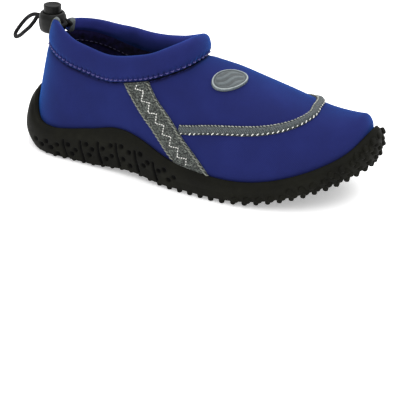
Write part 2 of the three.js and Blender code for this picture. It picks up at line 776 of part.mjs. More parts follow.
const materials = {
  neoprene: new THREE.MeshStandardMaterial({ color: 0x2d3f94, roughness: 0.8 }),
  rubber: new THREE.MeshStandardMaterial({ color: 0x22221f, roughness: 0.7 }),
  foam: new THREE.MeshStandardMaterial({ color: 0x2a2a2e, roughness: 0.9 }),
  mesh: new THREE.MeshStandardMaterial({ color: 0x4c5350, roughness: 0.9 }),
  trim: new THREE.MeshStandardMaterial({ color: 0x7a7c78, roughness: 0.7 }),
  plastic: new THREE.MeshStandardMaterial({ color: 0x1b1b1b, roughness: 0.4 }),
};

const shoe = new THREE.Group();
function piece(name, geometry, material) {
  const mesh = new THREE.Mesh(geometry, materials[material].clone());
  mesh.name = name;
  shoe.add(mesh);
}

piece("sole", toGeometry(makeSole(), bend), "rubber");
piece("insole", toGeometry(makeInsole(), bend), "foam");
piece("upper", toGeometry(makeUpper(), bend), "neoprene");
piece("collar", toGeometry(makeBand()), "neoprene");
for (const side of ["lateral", "medial"]) {
  piece(`binding_${side}`, toGeometry(makeBinding(side), bend), "trim");
  piece(`tape_${side}`, toGeometry(makeTape(side), bend), "mesh");
  piece(`cord_${side}`, makeHeldCord(side), "plastic");
}
piece("piping", toGeometry(makePiping(), bend), "trim");
piece("badge", toGeometry(makeBadge(), bend), "trim");
piece("lock_barrel", toGeometry(makeBarrel()), "plastic");
piece("lock_plunger", toGeometry(makePlunger()), "plastic");
piece("cord_loop", makeLoop(), "plastic");

// The origin goes under the middle of the sole
const soleBox = new THREE.Box3().setFromObject(shoe.getObjectByName("sole"));
const middle = soleBox.getCenter(vector(0, 0, 0));
shoe.position.set(-middle.x, -middle.y, 0);

export default shoe;
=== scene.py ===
# A child's water shoe, right foot, seen from its outer side: matte blue neoprene in a black rubber
# cup sole. Sizes are in millimetres and are turned into metres where a mesh is made.
import math

import bmesh
import bpy
import numpy as np
from mathutils import Matrix, Vector


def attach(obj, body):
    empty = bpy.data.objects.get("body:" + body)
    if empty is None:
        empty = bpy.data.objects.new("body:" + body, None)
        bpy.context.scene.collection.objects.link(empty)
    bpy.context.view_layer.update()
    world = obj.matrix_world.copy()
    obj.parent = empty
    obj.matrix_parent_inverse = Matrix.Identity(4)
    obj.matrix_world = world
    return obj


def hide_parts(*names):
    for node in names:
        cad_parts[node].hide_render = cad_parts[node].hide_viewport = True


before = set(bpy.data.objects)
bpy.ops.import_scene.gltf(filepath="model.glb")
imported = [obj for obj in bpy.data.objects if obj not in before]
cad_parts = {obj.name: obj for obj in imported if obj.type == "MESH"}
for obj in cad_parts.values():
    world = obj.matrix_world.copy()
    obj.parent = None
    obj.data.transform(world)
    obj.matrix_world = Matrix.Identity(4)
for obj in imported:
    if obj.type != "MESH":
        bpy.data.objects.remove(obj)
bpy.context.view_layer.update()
BODY = "shoe"
BUTTON = "lock_button"
MM = 0.001
SHIFT = np.array([-1.045, -1.105, 0.0])  # from the middle of the last to the middle of the sole

# Sizes of the shoe, as in the part
LENGTH = 196.0  # of the upper, outside
BALL = 71.0  # across the widest part of the forefoot
LAST = 100.0  # height of the closed form that the sections are cut from
WALL = 2.6
GAP = 0.3  # between two pieces that touch
INSOLE = 2.5
FOOTBED = 7.0  # above the floor
KNOB = {"height": 2.4, "width": 3.7, "root": 0.5, "count": 76}
LUG = {"width": 8.0, "pitch": 16.0}
HEEL_PAD = {"at": 0.14, "length": 26.0, "width": 22.0}
FORE_PAD = {"at": 0.585, "length": 13.0, "width": 36.0}
SPRING = {"lift": 19.5, "start": 0.64, "power": 2.2}
ARCH = {"lift": 2.5, "start": 0.24, "end": 0.53}
SWING = {"shift": 8.0, "start": 0.45, "power": 1.6}
LEAN = {"shift": 11.2, "power": 1.15, "end": 0.45}
RISE = 30.0  # of the heel counter's rim above the floor
RUBBER = 5.5  # thickness of the sole's wall at the heel
HEEL = 61.0  # of the seam under the collar above the floor, at the back
COLLAR = 16.5  # height of the band where it is tallest
ENDS = (0.08, 1 - 0.041)  # shares of the seam's loop where the band starts and ends
PUFF = 3.3  # half of the band's thickness where it is fullest
TUCK = (0.05, 7.0)  # the upper narrows towards its foot: share and reach
CORD = 2.0
CORD_SEEN = 2.2  # the braid stands a little proud of the core

SECTIONS = {
    "at": [0.0, 0.12, 0.25, 0.4, 0.5, 0.62, 0.75, 0.88, 1.0],
    "lateral": [0.78, 0.78, 0.79, 0.86, 0.94, 1.01, 1.04, 1.0, 1.0],
    "medial": [0.74, 0.74, 0.73, 0.76, 0.86, 0.96, 1.0, 1.0, 1.0],
    "ridge": [1.0, 1.0, 0.9, 0.735, 0.65, 0.6, 0.513, 0.381, 0.28],
    "round": [2.8, 2.8, 2.6, 2.4, 2.25, 2.25, 2.3, 2.4, 2.4],
}
RIM = {
    "at": [0.0, 0.02, 0.06, 0.12, 0.18, 0.24, 0.33, 0.43, 0.54, 0.66, 0.8, 0.93, 0.97, 1.0],
    "lateral": [1, 0.9, 0.62, 0.565, 0.62, 0.71, 0.805, 0.7, 0.515, 0.435, 0.417, 0.467, 0.535, 0.68],
    "medial": [1, 0.9, 0.62, 0.565, 0.62, 0.71, 0.805, 0.72, 0.54, 0.45, 0.417, 0.467, 0.535, 0.68],
    "wall": [1, 0.98, 0.87, 0.76, 0.72, 0.69, 0.655, 0.655, 0.655, 0.69, 0.8, 0.98, 0.98, 0.98],
}
PROFILE = {"at": [0.0, 0.3, 0.62, 0.86, 1.0], "share": [0.74, 0.98, 1.0, 0.84, 0.5]}
SEAM = {
    "at": [0.0, 0.08, 0.18, 0.3, 0.4, 0.48, 0.54, 0.6],
    "height": [1.0, 0.943, 0.869, 0.811, 0.844, 0.959, 1.09, 1.393],
}
BAND = {
    "at": [0.0, 0.05, 0.12, 0.3, 0.42, 0.5, 0.6, 0.68, 0.77, 0.86, 1.0],
    "height": [1.0, 0.99, 0.89, 0.86, 0.88, 0.76, 0.7, 0.73, 0.83, 0.58, 0.44],
    "lean": [0.0, 0.025, 0.06, 0.09, 0.06, 0.09, 0.07, 0.08, 0.08, 0.05, 0.0],
}
BAND_PROFILE = [(0.14, 0.74), (0.34, 1.0), (0.6, 1.0), (0.84, 0.84), (0.96, 0.5)]
TAPE = {"at": [0.345, 0.425, 0.477, 0.527, 0.575, 0.62], "height": [0.97, 0.69, 0.555, 0.4, 0.26, 0.1]}
TAPE_WIDTH, TAPE_THICKNESS = 14.0, 0.9
# From the outer side over the ridge to the inner side
PIPING = {
    "at": [
        0.48, 0.566, 0.657, 0.741, 0.793, 0.831, 0.851, 0.847,
        0.839, 0.816, 0.779, 0.728, 0.647, 0.56, 0.48,
    ],
    "turn": [
        0.13, 0.157, 0.195, 0.232, 0.273, 0.335, 0.42, 0.5,
        0.58, 0.665, 0.727, 0.768, 0.805, 0.843, 0.87,
    ],
}
PIPING_WIDTH = 5.2
BADGE = {"at": 0.625, "turn": 0.413, "slant": 40, "length": 19.6, "width": 13.8, "wave_pitch": 3.6}
for table in (TAPE, PIPING):
    table["order"] = list(np.linspace(0, 1, len(table["at"])))


def read(table, name, at, key="at"):
    """Smooth curve through one column of a table"""
    x, y = np.array(table[key], float), np.array(table[name], float)
    at = np.asarray(at, float)
    i = np.clip(np.searchsorted(x, at, side="left") - 1, 0, len(x) - 2)
    order = np.arange(len(x))
    low, high = np.maximum(order - 1, 0), np.minimum(order + 1, len(x) - 1)
    slope = (y[high] - y[low]) / (x[high] - x[low])
    span = x[i + 1] - x[i]
    u = np.clip((at - x[i]) / span, 0, 1)
    u2, u3 = u * u, u * u * u
    start = (2 * u3 - 3 * u2 + 1) * y[i] + (u3 - 2 * u2 + u) * span * slope[i]
    return start + (3 * u2 - 2 * u3) * y[i + 1] + (u3 - u2) * span * slope[i + 1]


def cap(share, power, distance):
    """Closes a form at its end: 0 at the end itself and 1 from the given share of the length on"""
    inside = np.clip(1 - np.maximum(distance, 0) / share, 0, 1)
    return np.power(1 - np.power(inside, power), 1 / power)


def ridge_height(at, grow=0.0, full=False):
    """Height of the form's ridge above the footbed; full leaves out the drop at the toe"""
    ridge = LAST * read(SECTIONS, "ridge", at) - FOOTBED + grow
    return ridge if full else ridge * cap(0.035, 2.3, 1 - at) + 0.01


def half_width(at, side, height, grow=0.0, full=False):
    """Width of the form on one side; side is -1 on the lateral and 1 on the medial half"""
    ends = cap(0.16, 2.0, at) * cap(0.4, 2.1, 1 - at)
    share = np.where(side < 0, read(SECTIONS, "lateral", at), read(SECTIONS, "medial", at))
    power = read(SECTIONS, "round", at)
    ratio = np.clip(height / ridge_height(at, grow, full), 0, 1)
    narrowing = np.power(1 - np.power(ratio, power), 1 / power)
    tuck = 1 - TUCK[0] * np.exp(-np.maximum(height, 0) / TUCK[1])
    return (BALL / 2 * share + grow) * ends * narrowing * tuck


def together(*values):
    return np.broadcast_arrays(*(np.asarray(v, float) for v in values))


def side_point(at, side, height, grow=0.0, full=False):
    """A point of the flat shoe at a height above the footbed, on one side"""
    at, side, height, grow = together(at, side, height, grow)
    x = (at - 0.5) * (LENGTH + 2 * grow)
    return np.stack([x, side * half_width(at, side, height, grow, full), FOOTBED + height], -1)


def over_point(at, turn, grow=0.0):
    """A point of the flat shoe: turn runs from 0 at the lateral foot over the ridge at 0.5 to 1"""
    at, turn, grow = together(at, turn, grow)
    angle = np.pi * np.clip(np.where(turn < 0.5, turn, 1 - turn), 0, 0.5)
    height = ridge_height(at, grow) * np.power(np.sin(angle), 2 / read(SECTIONS, "round", at))
    return side_point(at, np.where(turn < 0.5, -1, 1), height, grow)


def bend(p):
    """Gives the flat shoe its toe spring, arch, swing and lean, and moves it under its origin"""
    x, y, z = p[..., 0], p[..., 1], p[..., 2]
    at = x / LENGTH + 0.5

    def past(start):
        return np.maximum(at - start, 0) / (1 - start)

    lift = SPRING["lift"] * past(SPRING["start"]) ** SPRING["power"]
    in_arch = np.clip((at - ARCH["start"]) / (ARCH["end"] - ARCH["start"]), 0, 1)
    lift = lift + ARCH["lift"] * np.sin(np.pi * in_arch) ** 2
    back = np.maximum(1 - np.maximum(at, 0) / LEAN["end"], 0)
    lean = LEAN["shift"] * (np.maximum(z, 0) / HEEL) ** LEAN["power"] * back
    swing = SWING["shift"] * past(SWING["start"]) ** SWING["power"]
    return np.stack([x + lean, y + swing, z + lift], -1) + SHIFT


def seam_height(x):
    """Height above the floor of the seam under the collar"""
    return HEEL * read(SEAM, "height", x / LENGTH + 0.5)


def seam_front(grow):
    """Share of the length where the seam meets the ridge"""
    low, high = 0.3, 0.6
    for _ in range(40):
        at = (low + high) / 2
        if seam_height((at - 0.5) * (LENGTH + 2 * grow)) - FOOTBED < ridge_height(at, grow):
            low = at
        else:
            high = at
    return low


def seam_point(turn, grow):
    """A point of the seam's loop: 0 at the back, over the lateral side to 1 at the back again"""
    at = seam_front(grow) * (1 - np.cos(turn * 2 * np.pi)) / 2
    height = seam_height((at - 0.5) * (LENGTH + 2 * grow)) - FOOTBED
    return side_point(at, np.where(turn < 0.5, -1.0, 1.0), height, grow)


def unit(v):
    return v / (np.linalg.norm(v, axis=-1, keepdims=True) + 1e-12)


def run_along(line):
    """Length of a line from its start up to each of its points"""
    return np.concatenate([[0], np.cumsum(np.linalg.norm(np.diff(line, axis=0), axis=1))])


def points_at(places, run, line):
    """Points of a line at given lengths along it"""
    return np.stack([np.interp(places, run, line[:, k]) for k in range(3)], -1)


def run_across(grid):
    """The same lengths for each row of a grid"""
    step = np.linalg.norm(np.diff(grid, axis=1), axis=2)
    return np.concatenate([np.zeros((len(grid), 1)), np.cumsum(step, axis=1)], 1)


def even(line, count):
    """Shares of a line's own parameter that cut it into equal lengths"""
    run = run_along(line)
    return np.interp(np.linspace(0, run[-1], count), run, np.linspace(0, 1, len(line)))


def smooth_line(points, count):
    """Centripetal curve through chosen points"""
    p = np.array(points, float)
    p = np.vstack([2 * p[0] - p[1], p, 2 * p[-1] - p[-2]])
    out = []
    parts = len(p) - 3
    for k in range(count):
        place = k / (count - 1) * parts
        i = min(int(place), parts - 1)
        u = place - i
        a, b, c, d = p[i : i + 4]
        t0, t1, t2 = (max(np.linalg.norm(m - n) ** 0.5, 1e-6) for m, n in ((b, a), (c, b), (d, c)))
        m1 = ((b - a) / t0 - (c - a) / (t0 + t1) + (c - b) / t1) * t1
        m2 = ((c - b) / t1 - (d - b) / (t1 + t2) + (d - c) / t2) * t1
        u2, u3 = u * u, u * u * u
        point = (2 * u3 - 3 * u2 + 1) * b + (u3 - 2 * u2 + u) * m1
        out.append(point + (3 * u2 - 2 * u3) * c + (u3 - u2) * m2)
    return np.array(out)


# Camera: on the shoe's outer side, a little towards its toe, and above it
AIM = np.array([0.0, 0.0, 25.0]) + SHIFT
AZIMUTH, ELEVATION, ROLL = (math.radians(v) for v in (26.0, 23.5, 1.5))
DISTANCE = 700.0
PIXELS_PER_MM = 1.85
PICTURE = 400
AIM_PIXEL = (194, 123)  # where AIM lands, from the picture's upper left corner
SENSOR = 36


def make_camera():
    a, e = AZIMUTH, ELEVATION
    back = Vector((math.sin(a) * math.cos(e), -math.cos(a) * math.cos(e), math.sin(e)))
    right = Vector((math.cos(a), math.sin(a), 0))
    up = back.cross(right)
    rolled_right = right * math.cos(ROLL) + up * math.sin(ROLL)
    rolled_up = up * math.cos(ROLL) - right * math.sin(ROLL)
    data = bpy.data.cameras.new("camera")
    data.sensor_width = SENSOR
    data.lens = SENSOR * DISTANCE * PIXELS_PER_MM / PICTURE
    data.shift_x = (PICTURE / 2 - AIM_PIXEL[0]) / PICTURE
    data.shift_y = (AIM_PIXEL[1] - PICTURE / 2) / PICTURE
    data.clip_start, data.clip_end = 0.01, 20
    camera = bpy.data.objects.new("camera", data)
    place = Matrix((rolled_right, rolled_up, back)).transposed().to_4x4()
    place.translation = Vector(AIM * MM) + back * DISTANCE * MM
    camera.matrix_world = place
    bpy.context.collection.objects.link(camera)
    bpy.context.scene.camera = camera


make_camera()


# Node and material helpers
def colour(text):
    """A colour given as sRGB hex, turned linear"""
    values = [int(text[i : i + 2], 16) / 255 for i in (0, 2, 4)]
    linear = [v / 12.92 if v <= 0.04045 else ((v + 0.055) / 1.055) ** 2.4 for v in values]
    return (*linear, 1.0)


def node(tree, kind, inputs=None, **settings):
    """A new node; an input is a value, or a socket that is linked to it"""
    made = tree.nodes.new(kind)
    for name, value in settings.items():
        setattr(made, name, value)
    for name, value in (inputs or {}).items():
        if isinstance(value, bpy.types.NodeSocket):
            tree.links.new(value, made.inputs[name])
        else:
            made.inputs[name].default_value = value
    return made


class Finish:
    """A new material with its shader, output and the surface's own millimetre coordinates"""

    def __init__(self, name, roughness, **sockets):
        self.material = bpy.data.materials.new(name)
        self.material.use_nodes = True
        self.tree = self.material.node_tree
        self.tree.nodes.clear()
        self.shader = node(self.tree, "ShaderNodeBsdfPrincipled", {"Roughness": roughness})
        for socket, value in sockets.items():
            self.shader.inputs[socket.replace("_", " ")].default_value = value
        out = node(self.tree, "ShaderNodeOutputMaterial")
        self.tree.links.new(self.shader.outputs[0], out.inputs[0])

    def add(self, kind, inputs=None, **settings):
        return node(self.tree, kind, inputs, **settings)

    def cloth(self):
        """Coordinates along and across the cloth, in millimetres"""
        return self.add("ShaderNodeUVMap", uv_map="cloth").outputs[0]

    def space(self):
        """Object coordinates in millimetres"""
        place = self.add("ShaderNodeTexCoord").outputs["Object"]
        scale = {0: place, 1: (1 / MM, 1 / MM, 1 / MM)}
        return self.add("ShaderNodeVectorMath", scale, operation="MULTIPLY").outputs[0]

    def painted_shade(self):
        """Painted shade: 1 in the bottom of seams, grooves and dimples, 0 on the open surface; below 0 it is
        painted highlight, -1 on raised rims
        """
        return self.add("ShaderNodeAttribute", attribute_name="painted_shade").outputs["Fac"]

    def noise(self, vector, scale, detail=2.0, roughness=0.5):
        sockets = {"Vector": vector, "Scale": scale, "Detail": detail, "Roughness": roughness}
        return self.add("ShaderNodeTexNoise", sockets).outputs[0]

    def maths(self, operation, a, b=0.0, c=0.0):
        return self.add("ShaderNodeMath", {0: a, 1: b, 2: c}, operation=operation).outputs[0]

    def ramp(self, factor, stops):
        made = self.add("ShaderNodeValToRGB", {0: factor})
        elements = made.color_ramp.elements
        while len(elements) < len(stops):
            elements.new(0.5)
        for element, (place, text) in zip(elements, stops):
            element.position = place
            element.color = colour(text)
        return made.outputs[0]

    def bump(self, height, depth, strength=1.0):
        """depth is the real height of the relief, in millimetres"""
        made = self.add("ShaderNodeBump", {"Height": height, "Distance": depth * MM, "Strength": strength})
        self.tree.links.new(made.outputs[0], self.shader.inputs["Normal"])

    def link(self, value, socket):
        self.tree.links.new(value, self.shader.inputs[socket])


# Typical cloth of this kind has a thread about every 0.5 mm. Its patterns are drawn with a pitch of 0.7 to
# 1.5 mm, as coarse as they need to be to show
def knit(finish, pitch):
    """Height of a fine knit with the given pitch, from the cloth's own coordinates"""
    parts = finish.add("ShaderNodeSeparateXYZ", {0: finish.cloth()})
    turn = 2 * math.pi / pitch
    along = finish.maths("SINE", finish.maths("MULTIPLY", parts.outputs[0], turn))
    across = finish.maths("SINE", finish.maths("MULTIPLY", parts.outputs[1], turn * 0.8))
    return finish.maths("MULTIPLY_ADD", finish.maths("MULTIPLY", along, across), 0.5, 0.5)


def crossed(finish, pitch):
    """Height of two sets of threads that cross on the slant, from the cloth's own coordinates"""
    parts = finish.add("ShaderNodeSeparateXYZ", {0: finish.cloth()})
    x, y = parts.outputs[0], parts.outputs[1]
    turn = 2 * math.pi / pitch
    one = finish.maths("SINE", finish.maths("MULTIPLY", finish.maths("ADD", x, y), turn))
    two = finish.maths("SINE", finish.maths("MULTIPLY", finish.maths("SUBTRACT", x, y), turn))
    return finish.maths("MULTIPLY_ADD", finish.maths("MULTIPLY", one, two), 0.5, 0.5)


def neoprene(name, base, deep, light, bright, seam):
    """Matte nylon knit over foam: the knit breaks up the light, and an azure sheen lifts the edges. Painted
    shade darkens it towards the seam colour, and painted highlight lightens it towards the bright colour
    """
    f = Finish(name, 0.9, Sheen_Weight=0.44, Sheen_Roughness=0.4, Specular_IOR_Level=0.05)
    f.shader.inputs["Sheen Tint"].default_value = colour("1c8cff")
    threads = f.maths("MULTIPLY", knit(f, 0.9), 0.1)
    cloud = f.maths("MULTIPLY_ADD", f.noise(f.space(), 0.05, 3.0), 0.75, threads)
    cloud = f.maths("MULTIPLY_ADD", f.noise(f.space(), 1.1, 3.0), 0.15, cloud)
    # Painted shade and painted highlight from the painted_shade attribute
    factor = f.maths("SUBTRACT", cloud, f.maths("MULTIPLY", f.painted_shade(), 0.5))
    stops = [(0.0, seam), (0.3, deep), (0.5, base), (0.72, light), (1.0, bright)]
    f.link(f.ramp(factor, stops), "Base Color")
    fuzz = f.noise(f.space(), 2.4, 3.0)
    f.bump(f.maths("MULTIPLY_ADD", knit(f, 0.9), 0.6, fuzz), 0.12, 0.6)
    return f.material


def lining():
    """Dark brushed knit inside the shoe; painted shade darkens it down the collar's facing"""
    f = Finish("lining", 0.95, Sheen_Weight=0.05, Specular_IOR_Level=0.04)
    tone = f.maths("SUBTRACT", f.noise(f.space(), 0.4, 3.0), f.maths("MULTIPLY", f.painted_shade(), 0.35))
    f.link(f.ramp(tone, [(0.0, "020204"), (0.3, "100d24"), (0.7, "1d1942")]), "Base Color")
    f.bump(knit(f, 1.1), 0.15, 0.6)
    return f.material


def rubber():
    """Moulded black rubber: a dull skin with a fine grain, paler and darker in random patches, with painted
    shade in its grooves and dimples
    """
    f = Finish("rubber", 0.7, Specular_IOR_Level=0.07)
    tone = f.maths("SUBTRACT", f.noise(f.space(), 0.09, 4.0), f.maths("MULTIPLY", f.painted_shade(), 0.6))
    f.link(f.ramp(tone, [(0.0, "020202"), (0.3, "0f0f0c"), (0.6, "14140f"), (0.8, "1b1b15")]), "Base Color")
    rough = f.maths("MULTIPLY_ADD", f.noise(f.space(), 0.5, 3.0), 0.25, 0.55)
    f.link(rough, "Roughness")
    f.bump(f.noise(f.space(), 3.0, 3.0), 0.08, 0.5)
    return f.material


def speckled_tape():
    """Dark grey mesh over blue foam: pale and dark threads cross on the slant and show as speckles"""
    f = Finish("speckled_tape", 0.85, Sheen_Weight=0.1)
    weave = crossed(f, 1.15)
    speck = f.noise(f.cloth(), 0.85, 4.0, 0.85)
    mixed = f.maths("MULTIPLY_ADD", weave, 0.35, f.maths("MULTIPLY_ADD", speck, 1.5, -0.32))
    stops = [(0.5, "060808"), (0.6, "151918"), (0.7, "333936"), (0.8, "8b928a")]
    f.link(f.ramp(mixed, stops), "Base Color")
    f.bump(weave, 0.25, 0.8)
    return f.material


def grey_cloth(name, low, high, pitch=0.8):
    """Woven grey cloth with threads that catch the light one by one"""
    f = Finish(name, 0.78, Sheen_Weight=0.15)
    uneven = f.maths("MULTIPLY", f.noise(f.space(), 1.4, 3.0), 0.5)
    mixed = f.maths("MULTIPLY_ADD", knit(f, pitch), 0.5, uneven)
    f.link(f.ramp(mixed, [(0.25, low), (0.75, high)]), "Base Color")
    f.bump(knit(f, pitch), 0.14, 0.8)
    return f.material


def piping_cloth():
    """Grey cover stitching over a cord: fine slanted threads, pale on the cord and dark along both edges"""
    f = Finish("piping_cloth", 0.8, Sheen_Weight=0.1, Specular_IOR_Level=0.2)
    parts = f.add("ShaderNodeSeparateXYZ", {0: f.cloth()})
    x, y = parts.outputs[0], parts.outputs[1]
    slant = f.maths("SINE", f.maths("MULTIPLY", f.maths("MULTIPLY_ADD", y, 0.6, x), 2 * math.pi / 0.95))
    threads = f.maths("MULTIPLY_ADD", slant, 0.16, f.maths("MULTIPLY", f.noise(f.cloth(), 1.2, 3.0), 0.75))
    edge = f.maths("POWER", f.maths("DIVIDE", f.maths("ABSOLUTE", y), PIPING_WIDTH / 2), 4.0)
    tone = f.maths("SUBTRACT", f.maths("ADD", threads, 0.12), f.maths("MULTIPLY", edge, 0.5))
    stops = [(0.0, "0e1112"), (0.25, "23282a"), (0.45, "3e4445"), (0.7, "61676a")]
    f.link(f.ramp(tone, stops), "Base Color")
    f.bump(threads, 0.25, 0.9)
    return f.material


def satin_badge():
    """Silver-grey moulded rubber with a satin skin, with painted shade in its ditch and between its waves
    and a painted highlight on its rim
    """
    f = Finish("satin_badge", 0.5, Specular_IOR_Level=0.3, Coat_Weight=0.08, Coat_Roughness=0.35)
    tone = f.maths("MULTIPLY_ADD", f.noise(f.space(), 0.5, 3.0), 0.3, 0.35)
    # Painted shade and painted highlight from the painted_shade attribute
    tone = f.maths("SUBTRACT", tone, f.maths("MULTIPLY", f.painted_shade(), 0.45))
    f.link(f.ramp(tone, [(0.0, "23272a"), (0.5, "535b5e"), (0.7, "646c6e"), (1.0, "a0a8a8")]), "Base Color")
    f.bump(f.noise(f.space(), 4.0, 2.0), 0.05, 0.4)
    return f.material


def black_plastic():
    """Moulded black plastic with a soft gloss and faint flow marks"""
    f = Finish("black_plastic", 0.4, Specular_IOR_Level=0.2)
    f.link(f.ramp(f.noise(f.space(), 0.3, 3.0), [(0.3, "090908"), (0.7, "10100f")]), "Base Color")
    f.link(f.maths("MULTIPLY_ADD", f.noise(f.space(), 0.8, 3.0), 0.2, 0.33), "Roughness")
    f.bump(f.noise(f.space(), 5.0, 2.0), 0.04, 0.4)
    return f.material


def braid():
    """Black elastic cord with a fine braid round it"""
    f = Finish("braid", 0.7, Specular_IOR_Level=0.15)
    weave = crossed(f, 0.9)
    f.link(f.ramp(weave, [(0.2, "0b0b0c"), (0.9, "1b1b1d")]), "Base Color")
    f.bump(weave, 0.2, 0.8)
    return f.material


def thread(name, low, high):
    """Twisted polyester thread"""
    f = Finish(name, 0.55)
    f.link(f.ramp(f.noise(f.space(), 2.0, 2.0), [(0.25, low), (0.75, high)]), "Base Color")
    f.bump(f.noise(f.space(), 6.0, 2.0), 0.06, 0.5)
    return f.material


LOOKS = {
    # The seam colour of each is painted shade: along the collar's seam on the upper, and in the seam crease
    # and down the inner face of the collar. collar_knit's bright colour is painted highlight on the upper
    # part of that inner face
    "neoprene": neoprene("neoprene", "1f2457", "1e2251", "22285e", "262d69", "121130"),
    "collar_knit": neoprene("collar_knit", "202559", "1f2353", "242a62", "31367e", "05040c"),
    "lining": lining(),
    "rubber": rubber(),
    "tape": speckled_tape(),
    "piping": piping_cloth(),
    "binding": grey_cloth("binding_cloth", "3c4446", "62696b", 0.7),
    "foam": grey_cloth("foam_cloth", "17171b", "2a2a30", 1.2),
    "badge": satin_badge(),
    "plastic": black_plastic(),
    "braid": braid(),
    "blue_thread": thread("blue_thread", "36316a", "565092"),
    "grey_thread": thread("grey_thread", "5f625a", "8c8f84"),
    "pale_thread": thread("pale_thread", "83867d", "b4b7ae"),
    "white_thread": thread("white_thread", "d8d8d2", "f2f2ee"),
    "dark_thread": thread("dark_thread", "1a1630", "2e2850"),
}


# Mesh helpers
class Patches:
    """Grids of points, in millimetres, that are joined into one piece"""

    def __init__(self):
        self.points, self.faces, self.cloth, self.looks, self.painted_shade = [], [], [], [], []

    def add(self, grid, cloth=None, look=0, closed=False, flip=False, painted_shade=0.0):
        n, m = grid.shape[:2]
        self.painted_shade.append(np.broadcast_to(painted_shade, (n, m)).ravel())
        start = sum(len(p) for p in self.points)
        self.points.append(grid.reshape(-1, 3))
        if cloth is None:
            cloth = measured(grid)
        self.cloth.append(cloth.reshape(-1, 2))
        rows = np.arange(n if closed else n - 1)
        i, j = np.meshgrid(rows, np.arange(m - 1), indexing="ij")
        here, after = i * m + j, (i + 1) % n * m + j
        quads = np.stack([here, after, after + 1, here + 1], -1).reshape(-1, 4) + start
        self.faces.append(quads[:, ::-1] if flip else quads)
        self.looks.append(np.full(len(quads), look))

    def piece(self, name, looks, merge=0.01, close=True):
        points = np.vstack(self.points) * MM
        faces = np.vstack(self.faces)
        cloth = np.vstack(self.cloth)
        mesh = bpy.data.meshes.new(name)
        mesh.vertices.add(len(points))
        mesh.vertices.foreach_set("co", points.ravel())
        mesh.loops.add(faces.size)
        mesh.loops.foreach_set("vertex_index", faces.ravel().astype(np.int32))
        mesh.polygons.add(len(faces))
        mesh.polygons.foreach_set("loop_start", np.arange(0, faces.size, 4, dtype=np.int32))
        mesh.polygons.foreach_set("material_index", np.concatenate(self.looks).astype(np.int32))
        mesh.update(calc_edges=True)
        layer = mesh.uv_layers.new(name="cloth")
        layer.data.foreach_set("uv", cloth[faces.ravel()].ravel())
        # Painted shade and painted highlight of each point, read by the materials
        layer = mesh.attributes.new("painted_shade", "FLOAT", "POINT")
        layer.data.foreach_set("value", np.concatenate(self.painted_shade).astype(np.float32))
        for look in looks:
            mesh.materials.append(LOOKS[look])
        work = bmesh.new()
        work.from_mesh(mesh)
        bmesh.ops.remove_doubles(work, verts=work.verts, dist=merge * MM)
        bmesh.ops.dissolve_degenerate(work, edges=work.edges, dist=1e-6)
        if close:
            bmesh.ops.recalc_face_normals(work, faces=work.faces)
        work.to_mesh(mesh)
        work.free()
        mesh.polygons.foreach_set("use_smooth", np.ones(len(mesh.polygons), dtype=bool))
        made = bpy.data.objects.new(name, mesh)
        bpy.context.collection.objects.link(made)
        return made


def measured(grid):
    """Lengths along a grid's two directions, in millimetres"""
    return np.stack([run_across(grid.swapaxes(0, 1)).T, run_across(grid)], -1)


def own(piece, slot, *nodes, body=BODY):
    """Says which body a piece rides on and which nodes it stands for; slot is not used"""
    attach(piece, body)
    if nodes:
        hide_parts(*nodes)
    return piece


def tube_grid(line, width, corners=16):
    """Rings round a line, with cloth coordinates round and along it"""
    line = np.array(line, float)
    along = unit(np.gradient(line, axis=0))
    side = np.zeros_like(line)
    side[0] = unit(np.cross(along[0], [0.3, 0.2, 1.0]))
    for i in range(1, len(line)):
        side[i] = unit(side[i - 1] - along[i] * np.dot(side[i - 1], along[i]))
    up = np.cross(along, side)
    angle = np.linspace(0, 2 * np.pi, corners + 1)
    ring = np.cos(angle)[None, :, None] * side[:, None] + np.sin(angle)[None, :, None] * up[:, None]
    grid = line[:, None] + ring * width / 2
    cloth = np.stack(np.broadcast_arrays(run_along(line)[:, None], angle[None] * width / 2), -1)
    return grid, cloth


def revolved(outline, corners, wide=1.0, deep=1.0):
    """An outline of radius and height turned round an upright axis, into a round or an oval"""
    radius, height = np.array(outline, float).T[:, None]
    angle = np.linspace(0, 2 * np.pi, corners + 1)[:-1, None]
    ring = (np.cos(angle) * radius * wide, np.sin(angle) * radius * deep, height)
    return np.stack(np.broadcast_arrays(*ring), -1)


def rounded(outline, radius, steps=4):
    """Rounds the corners of an open outline of radius and height"""
    outline = [np.array(p, float) for p in outline]
    out = [outline[0]]
    for before, here, after in zip(outline, outline[1:], outline[2:]):
        a, b = before - here, after - here
        reach = min(radius, np.linalg.norm(a) / 2.2, np.linalg.norm(b) / 2.2)
        start, end = here + unit(a) * reach, here + unit(b) * reach
        for i in range(steps + 1):
            t = i / steps
            out.append((1 - t) ** 2 * start + 2 * t * (1 - t) * here + t * t * end)
    out.append(outline[-1])
    return out


# Free loop of drawcord behind the heel, and the strands between lock and collar
LOCK = {"behind": 1.4, "aside": -1.0, "above": 1.3, "cord": 7.3}  # cord is the height where it passes
BARREL = {"width": 15.6, "neck": 13.0, "height": 11.2, "bore": 10.5, "floor": 1.2}
PLUNGER = {"width": 9.9, "proud": 4.4, "bottom": 4.5}
HEEL_TOP = bend(np.array([-LENGTH / 2, 0, HEEL]))
LOCK_FOOT = HEEL_TOP + np.array([-LOCK["behind"], LOCK["aside"], LOCK["above"]])
CORD_HEIGHT = LOCK_FOOT[2] + LOCK["cord"]
STRAND = (CORD + GAP) / 2  # each of the two strands lies this far beside the lock's middle
LOOP = {"reach": 18.2, "drop": 15.0, "spread": 4.0}
# Shares of the loop's reach back, drop and spread aside
LOOP_ROUTE = [
    (0.31, 0.04, 0.5),
    (0.62, 0.28, 0.9),
    (0.82, 0.54, 1.0),
    (0.96, 0.78, 0.85),
    (1.0, 0.94, 0.45),
    (0.9, 1.0, -0.15),
    (0.66, 0.85, -0.7),
    (0.45, 0.63, -1.0),
    (0.27, 0.43, -0.98),
    (0.14, 0.2, -0.62),
]


